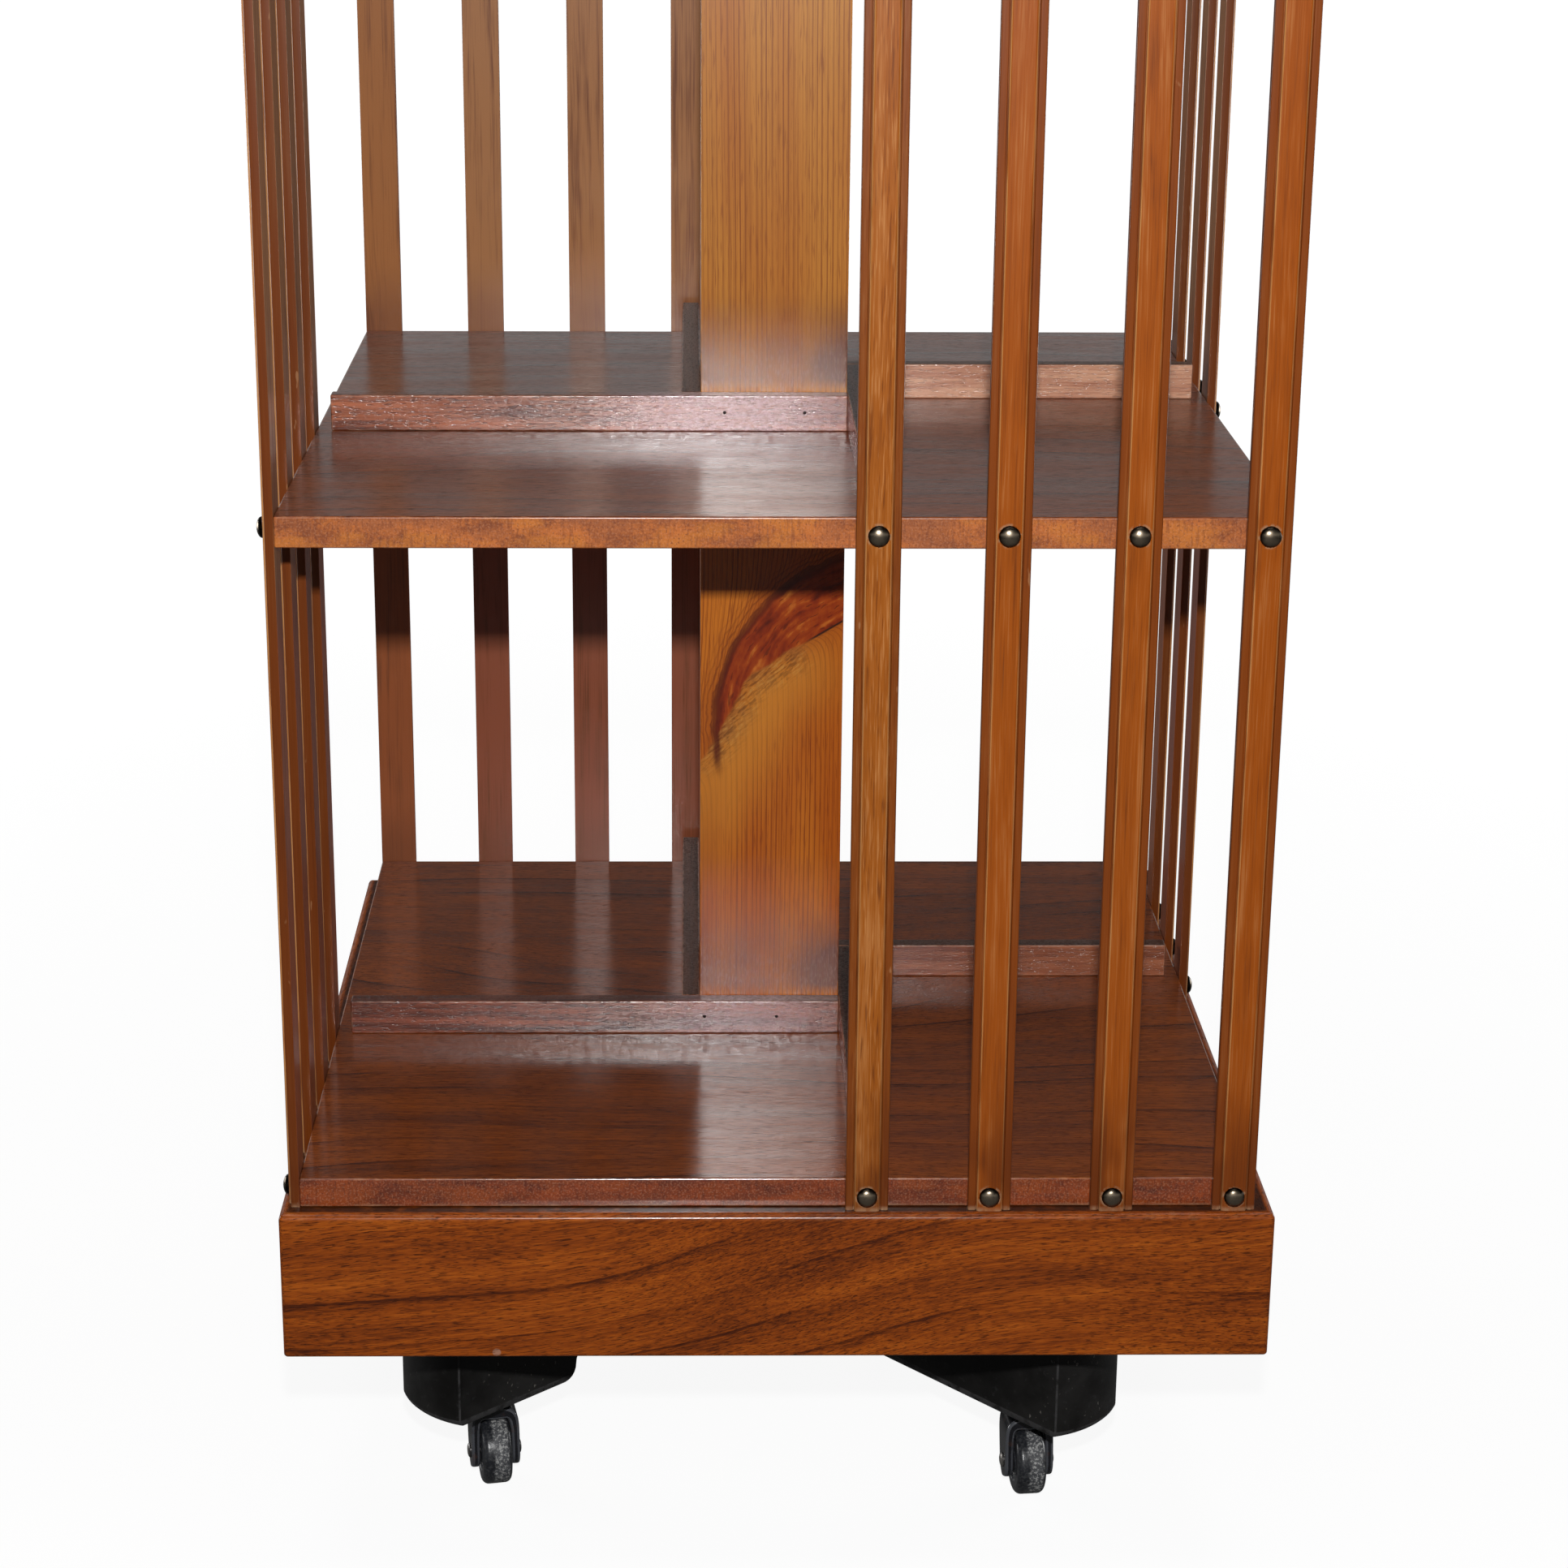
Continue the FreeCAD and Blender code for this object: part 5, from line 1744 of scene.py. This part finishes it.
@dataclass
class CrossBase:
    """The cross of two half-lapped beams with bowed ends."""

    width: float = 49.0 * MM
    reach: float = 248.0 * MM
    bulge: float = 6.0 * MM
    end_round: float = 4.0 * MM
    end_steps: int = 12
    corner_steps: int = 3
    foot_steps: int = 5
    arris: float = 1.1 * MM
    arris_steps: int = 3
    arch_foot: float = 72.0 * MM
    arch_rise: float = 19.0 * MM
    lap_play: float = 0.05 * MM
    caster_radius: float = 206.0 * MM
    pole_radius: float = 12.6 * MM
    socket_radius: float = 7.15 * MM
    pocket_radius: float = 22.8 * MM
    pocket_height: float = 15.0 * MM
    socket_height: float = 29.0 * MM

    def outline(self, end_inset: float, side_inset: float) -> list[Pair]:
        """Return a beam's outline in plan, with bowed ends and rounded corners, counter-clockwise.

        Args:
            end_inset: How far the ends are drawn in.
            side_inset: How far the sides are drawn in.

        Returns:
            The outline's points, as many for every inset.
        """
        full, side = self.width / 2, self.width / 2 - side_inset
        bow = (full ** 2 + self.bulge ** 2) / (2 * self.bulge)
        centre = self.reach + self.bulge - bow - end_inset
        spread = math.asin((side - self.arris) / (bow - self.arris))
        end = arc((centre, 0), bow, -math.degrees(spread), math.degrees(spread), self.end_steps)
        middle = (centre + (bow - self.arris) * math.cos(spread), side - self.arris)
        corner = arc(middle, self.arris, math.degrees(spread), 90, self.corner_steps)
        right = [(x, -y) for x, y in reversed(corner)] + end[1:-1] + corner
        return right + [(-x, -y) for x, y in right]

    def blank(self, low: float, high: float) -> Mesh:
        """Return a whole beam along the X axis.

        Args:
            low: Its underside's height.
            high: Its top's height.

        Returns:
            The mesh.
        """
        rings = []
        for step in range(self.foot_steps + 1):
            angle = math.pi / 2 * step / self.foot_steps
            drawn = 1 - math.sin(angle)
            height = low + self.end_round * (1 - math.cos(angle))
            outline = self.outline(drawn * self.end_round, drawn * self.arris)
            rings.append([Vector((x, y, height)) for x, y in outline])
        for step in range(self.arris_steps + 1):
            angle = math.pi / 2 * step / self.arris_steps
            drawn = (1 - math.cos(angle)) * self.arris
            height = high - self.arris * (1 - math.sin(angle))
            rings.append([Vector((x, y, height)) for x, y in self.outline(drawn, drawn)])
        half = len(rings[0]) // 2
        corner = self.corner_steps
        upright = [start + step for start in (0, half - 1 - corner, half, 2 * half - 1 - corner)
                   for step in range(corner)]
        return stacked(rings, set(range(len(rings) - 1)) - {self.foot_steps}, upright)

    def arch(self, low: float) -> Piece:
        """Return the space under the upper beam, to cut with.

        Args:
            low: The beam's underside.

        Returns:
            The cutting object.
        """
        bend = self.arch_rise / 2
        foot = self.reach - self.arch_foot
        half = [(foot, low - OVERCUT), (foot, low)]
        half += arc((foot, low + bend), bend, -90, -180, 6)[1:]
        half += arc((foot - self.arch_rise, low + bend), bend, 0, 90, 6)[1:]
        points = half + [(-x, z) for x, z in reversed(half)]
        rings = [[Vector((x, y, z)) for x, z in points] for y in (self.width, -self.width)]
        return as_object("arch", stacked(rings))

    def box_tool(self, low: Sequence[float], high: Sequence[float]) -> Piece:
        """Return a box to cut with."""
        return as_object("notch", softened_box(Vector(low), Vector(high), 0.1 * MM, 1))

    def build(self) -> None:
        """Build both beams."""
        low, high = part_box("lower_cross_beam")
        foot, top = low.z - OVERCUT, high.z + OVERCUT
        side = self.width / 2 + self.lap_play
        lap = (low.z + self.arch_rise + high.z) / 2
        far = 1.2 * self.width
        material = BlackPaint().material()
        for name, upper, angle in (("lower_cross_beam", False, -45), ("upper_cross_beam", True, 225)):
            piece = as_object(f"{name}_timber", self.blank(low.z, high.z))
            tools = [drill(self.pole_radius, foot, top)]
            for place in (-self.caster_radius, self.caster_radius):
                tools.append(drill(self.socket_radius, foot, low.z + self.socket_height, (place, 0)))
            if upper:
                tools += [self.arch(low.z), self.box_tool((-side, -far, foot), (side, far, lap))]
            else:
                tools.append(self.box_tool((-side, -far, lap), (side, far, top)))
                tools.append(drill(self.pocket_radius, foot, low.z + self.pocket_height))
            cut(piece, tools)
            piece.data.transform(Matrix.Rotation(math.radians(angle + CROSS_TURN_DEG), 4, "Z"))
            finished(piece, material, "base", [name])


@dataclass
class Casters:
    """Four casters, each a fork with bowed arms, an axle and a wheel.

    The path runs from an arm's end to the middle of the crown: distance to the side, height and thickness of
    the bar, in millimetres.
    """

    wheel_radius: float = 19.0 * MM
    wheel_half: float = 8.0 * MM
    tread_round: float = 3.5 * MM
    hub_radius: float = 7.5 * MM
    rim_radius: float = 12.0 * MM
    web_recess: float = 1.5 * MM
    bore: float = 2.55 * MM
    axle_radius: float = 2.5 * MM
    axle_head: float = 4.0 * MM
    arm_outside: float = 13.2 * MM
    trail: float = 4.0 * MM
    crown_top: float = 47.0 * MM
    boss_top: float = 51.7 * MM
    boss_radius: float = 7.5 * MM
    stem_radius: float = 4.5 * MM
    stem_top: float = 77.7 * MM
    arm_end: float = 9.3 * MM
    arm_foot: float = 0.9 * MM
    crown_half: float = 11.0 * MM
    crown_low: float = 39.5 * MM
    bar_arris: float = 1.5 * MM
    path: tuple[Triple, ...] = (
        (10.95, 9.8, 4.5), (10.95, 12.0, 4.5), (10.98, 16.0, 4.5), (11.0, 20.0, 4.5), (11.0, 25.0, 4.5),
        (10.9, 30.0, 4.6), (10.7, 35.0, 4.8), (9.9, 39.6, 5.2), (7.6, 42.4, 6.0), (4.0, 43.2, 7.0), (0.0, 43.25, 7.5))

    def wheel(self) -> Mesh:
        """Return the wheel round the Z axis, with a slightly crowned tread."""
        side, edge = self.wheel_half, self.tread_round
        web = side - self.web_recess
        rim = self.rim_radius
        tread_edge = arc((self.wheel_radius - edge, side - edge), edge, 90, 0, 6)
        half = [(self.bore, side), (self.hub_radius - 0.5 * MM, side), (self.hub_radius, side - 0.5 * MM),
                (self.hub_radius + 0.4 * MM, web), (rim - 0.6 * MM, web), (rim, side - 0.4 * MM),
                (rim + 0.5 * MM, side)]
        half += [(radius - 0.12 * MM * max(0.0, height / side - 0.4), height) for radius, height in tread_edge]
        half.append((self.wheel_radius, 0.0))
        profile = half + [(radius, -height) for radius, height in reversed(half[:-1])]
        half_wear = [0.0, 0.1, 0.2, 0.0, 0.0, 0.2, 0.3, 0.35, 0.45, 0.55, 0.7, 0.85, 0.95, 1.0, 1.0]
        wear = half_wear + [0.6 * value for value in reversed(half_wear[:-1])]
        return turned_mesh(profile, wear, around=72)

    def stations(self) -> list[Triple]:
        """Return points along the whole fork as the path has them, but in metres."""
        right = [tuple(MM * value for value in point) for point in self.path]
        whole = right + [(-x, z, thick) for x, z, thick in reversed(right[:-1])]
        points = []
        for number in range(len(whole) - 1):
            ends = [Vector(whole[max(0, min(len(whole) - 1, number + step))]) for step in (-1, 0, 1, 2)]
            for share in (0.0, 0.33, 0.67):
                first, second, third, fourth = ends
                points.append(tuple(0.5 * (
                    2 * second + (third - first) * share
                    + (2 * first - 5 * second + 4 * third - fourth) * share ** 2
                    + (3 * second - first - 3 * third + fourth) * share ** 3)))
        return points + [whole[-1]]

    def fork(self) -> Mesh:
        """Return the fork's arms and crown, a bar with rounded edges bent over the wheel."""
        stations = self.stations()
        rings = []
        for number, (x, z, thick) in enumerate(stations):
            before = stations[max(0, number - 1)]
            after = stations[min(len(stations) - 1, number + 1)]
            way = Vector((after[0] - before[0], 0, after[1] - before[1])).normalized()
            out = Vector((way.z, 0, -way.x))
            share = min(1.0, max(0.0, (z - self.wheel_radius) / (self.crown_low - self.wheel_radius)))
            middle = -self.trail * (1 - share)
            half = self.arm_end + (self.crown_half - self.arm_end) * share
            if z < self.wheel_radius:
                half = math.sqrt(max(half ** 2 - (self.wheel_radius - z) ** 2, self.arm_foot ** 2))
            radius = min(self.bar_arris, half * 0.8, thick * 0.4)
            ring = []
            for corner, (across, deep) in enumerate(((1, 1), (-1, 1), (-1, -1), (1, -1))):
                centre = (across * (half - radius), deep * (thick / 2 - radius))
                for u, v in arc(centre, radius, 90 * corner, 90 * corner + 90, 3):
                    ring.append(Vector((x, middle + u, z)) + out * v)
            rings.append(ring)
        return stacked(rings, upright=[4 * corner + step for corner in range(4) for step in range(3)])

    def stem(self) -> Mesh:
        """Return the boss over the crown and the stem in the socket."""
        crown, boss, stem = self.crown_top, self.boss_radius, self.stem_radius
        flare = boss + 0.8 * MM
        profile = [(0, crown - 1.5 * MM), (flare, crown - 1.5 * MM), (flare, crown + 0.5 * MM),
                   (boss, crown + 1.4 * MM), (boss, self.boss_top - 0.6 * MM), (boss - 0.6 * MM, self.boss_top),
                   (stem, self.boss_top), (stem, self.stem_top - 0.8 * MM), (stem - 0.8 * MM, self.stem_top),
                   (0, self.stem_top)]
        return turned_mesh(profile, around=32)

    def axle(self) -> Mesh:
        """Return the axle round the Z axis, with a low domed head at each end."""
        start, head = self.arm_outside, self.axle_head
        dome = [(head, start), (head, start + 0.5 * MM), (head * 0.86, start + 1.1 * MM),
                (head * 0.55, start + 1.5 * MM), (0, start + 1.6 * MM)]
        half = [(self.axle_radius, start)] + dome
        wear = [0.0, 0.5, 0.6, 0.8, 1.0, 1.0]
        profile = [(radius, -height) for radius, height in reversed(half)] + half
        return turned_mesh(profile, list(reversed(wear)) + wear, around=28)

    def build(self) -> None:
        """Build every caster where its joints say that it stands."""
        joints = {joint["name"]: joint for joint in frame["joints"]}
        # The fork's pale edges are partly worn paint and partly a painted highlight.
        paint = WornIron("fork_paint", base=tint(20, 20, 24), bare=tint(104, 106, 112), roughness=0.16)
        bare = WornIron("axle_iron", base=tint(52, 50, 50), bare=tint(150, 146, 140), metal=0.6, rubbing=0.6)
        painted, metal, tread = paint.material(), bare.material(), WheelFinish().material()
        lay = Matrix.Rotation(math.pi / 2, 4, "Y")
        drop = Matrix.Translation((0, -self.trail, self.wheel_radius))
        for name in joints:
            if not name.startswith("wheel_roll_"):
                continue
            arm = name.removeprefix("wheel_roll_")
            axis = Vector(joints[name]["axis"])
            foot = Vector(joints[f"fork_swivel_{arm}"]["pos_m"])
            across = Vector((0, 0, 1)).cross(axis)
            place = Matrix((
                (axis.x, across.x, 0, foot.x), (axis.y, across.y, 0, foot.y), (0, 0, 1, 0), (0, 0, 0, 1)))
            bar, stem = as_object("bar", self.fork(), place), as_object("stem", self.stem(), place)
            fork = merged(f"fork_{arm}", [bar, stem])
            finished(fork, painted, f"fork_{arm}", [f"caster_fork_{arm}"])
            axle = as_object(f"axle_{arm}", self.axle(), place @ drop @ lay)
            finished(axle, metal, f"fork_{arm}", [f"caster_axle_{arm}"])
            wheel = as_object(f"wheel_{arm}", self.wheel(), place @ drop @ lay)
            finished(wheel, tread, f"wheel_{arm}", [f"caster_wheel_{arm}"])


# Studio


@dataclass(frozen=True)
class Lamp:
    """A soft light of a width and a height, with the point that it faces and its power in watts."""

    name: str
    place: Triple
    target: Triple
    size: Pair
    power: float

    def build(self) -> None:
        """Add the light to the scene."""
        data = bpy.data.lights.new(self.name, "AREA")
        data.shape = "RECTANGLE"
        data.size, data.size_y = self.size
        data.energy = self.power
        lamp = bpy.data.objects.new(self.name, data)
        lamp.location = self.place
        way = Vector(self.target) - Vector(self.place)
        lamp.rotation_euler = way.to_track_quat("-Z", "Y").to_euler()
        bpy.context.scene.collection.objects.link(lamp)


@dataclass
class Studio:
    """The floor, the lights and the camera."""

    lens: float = 77.01
    sensor: float = 36.0
    shift: float = 0.0302
    place: Triple = (-0.0443, -1.7795, 0.9359)
    tilt_deg: float = 71.922
    yaw_deg: float = -0.847
    roll_deg: float = 0.276
    lamps: tuple[Lamp, ...] = (
        Lamp("key", (-0.04, -1.80, 1.14), (0.0, 0.0, 0.5), (0.045, 0.045), 25.0),
        Lamp("roof", (0.0, 0.0, 2.6), (0.0, 0.0, 0.0), (1.6, 1.6), 20.0),
        Lamp("side_0", (-2.5, 1.3, 0.45), (0.0, 0.0, 0.4), (1.6, 0.7), 30.0),
        Lamp("side_1", (2.5, 1.3, 0.45), (0.0, 0.0, 0.4), (1.6, 0.7), 30.0))
    fill: float = 0.009
    mirrored: float = 0.045
    skyline: float = 0.57
    skyline_ends: Pair = (0.29, 0.13)
    floor_tone: float = 0.12
    floor_glow: float = 0.915
    floor_lift: float = 0.14
    lift_ends: Pair = (0.4, 3.5)

    def camera(self) -> None:
        """Set up the camera as the photograph was taken."""
        data = bpy.data.cameras.new("camera")
        data.sensor_fit = "HORIZONTAL"
        data.sensor_width = self.sensor
        data.lens = self.lens
        data.shift_x = self.shift
        data.clip_start = 0.05
        camera = bpy.data.objects.new("camera", data)
        camera.location = self.place
        turns = zip((self.yaw_deg, self.tilt_deg, self.roll_deg), "ZXZ")
        yaw, tilt, roll = (Matrix.Rotation(math.radians(angle), 3, axis) for angle, axis in turns)
        camera.rotation_euler = (yaw @ tilt @ roll).to_euler()
        bpy.context.scene.collection.objects.link(camera)
        bpy.context.scene.camera = camera

    def floor(self) -> None:
        """Lay a wide pale floor that shows white to the camera and keeps the object's shadow."""
        mesh = bmesh.new()
        bmesh.ops.create_grid(mesh, x_segments=1, y_segments=1, size=60.0)
        floor = as_object("floor", mesh)
        shade = Shade("pale_floor")
        x, y, _ = shade.parts(shade.place)
        seen = shade.ray("Camera") + shade.ray("Transmission") + shade.ray("Glossy") * self.mirrored
        lift = self.floor_glow + shade.rise(shade.distance(x, y), *self.lift_ends) * self.floor_lift
        glow = shade.term("ShaderNodeEmission", {"Color": (1, 1, 1, 1), "Strength": seen * lift})
        pale = shade.term("ShaderNodeBsdfDiffuse", {"Color": (*[self.floor_tone] * 3, 1)})
        both = shade.term("ShaderNodeAddShader", {0: glow, 1: pale})
        shade.add("ShaderNodeOutputMaterial", {"Surface": both})
        floor.data.materials.append(shade.material)

    def sky(self) -> None:
        """Fill the studio with even light, and show white behind the object.

        Mirrored in gloss, the white is dim overhead and brighter low down, as a room's walls are.
        """
        world = bpy.data.worlds.new("studio")
        world.use_nodes = True
        sky = Nodes(world.node_tree)
        height = sky.parts(sky.term("ShaderNodeTexCoord", output="Generated"))[2]
        low_down = sky.rise(height, *self.skyline_ends) * self.skyline
        gloss = (low_down + self.mirrored) * sky.ray("Glossy")
        seen = sky.larger(sky.ray("Camera"), sky.ray("Transmission"))
        level = sky.larger(sky.larger(seen, gloss), self.fill)
        back = sky.term("ShaderNodeBackground", {"Color": (1, 1, 1, 1), "Strength": level})
        sky.add("ShaderNodeOutputWorld", {"Surface": back})
        bpy.context.scene.world = world

    def build(self) -> None:
        """Set up the whole studio."""
        self.camera()
        self.floor()
        self.sky()
        for lamp in self.lamps:
            lamp.build()
        bpy.context.scene.view_settings.view_transform = "Standard"


def corners(box: Iterable[Iterable[float]]) -> list[list[float]]:
    """Return a box's corners as plain lists."""
    return [[float(value) for value in corner] for corner in box]


def main() -> None:
    """Build the bookcase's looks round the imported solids."""
    logging.basicConfig(level=logging.INFO, format="%(name)s: %(message)s")
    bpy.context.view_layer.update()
    Studio().build()
    for assembly in (CrossBase(), Casters(), Pivot(), Plinth(), Shelves(), Column(), BookStops(), Slats(), Nails(),
                     TopBoard()):
        assembly.build()
        log.info("%s is done", type(assembly).__name__)


if __name__ == "__main__":
    main()
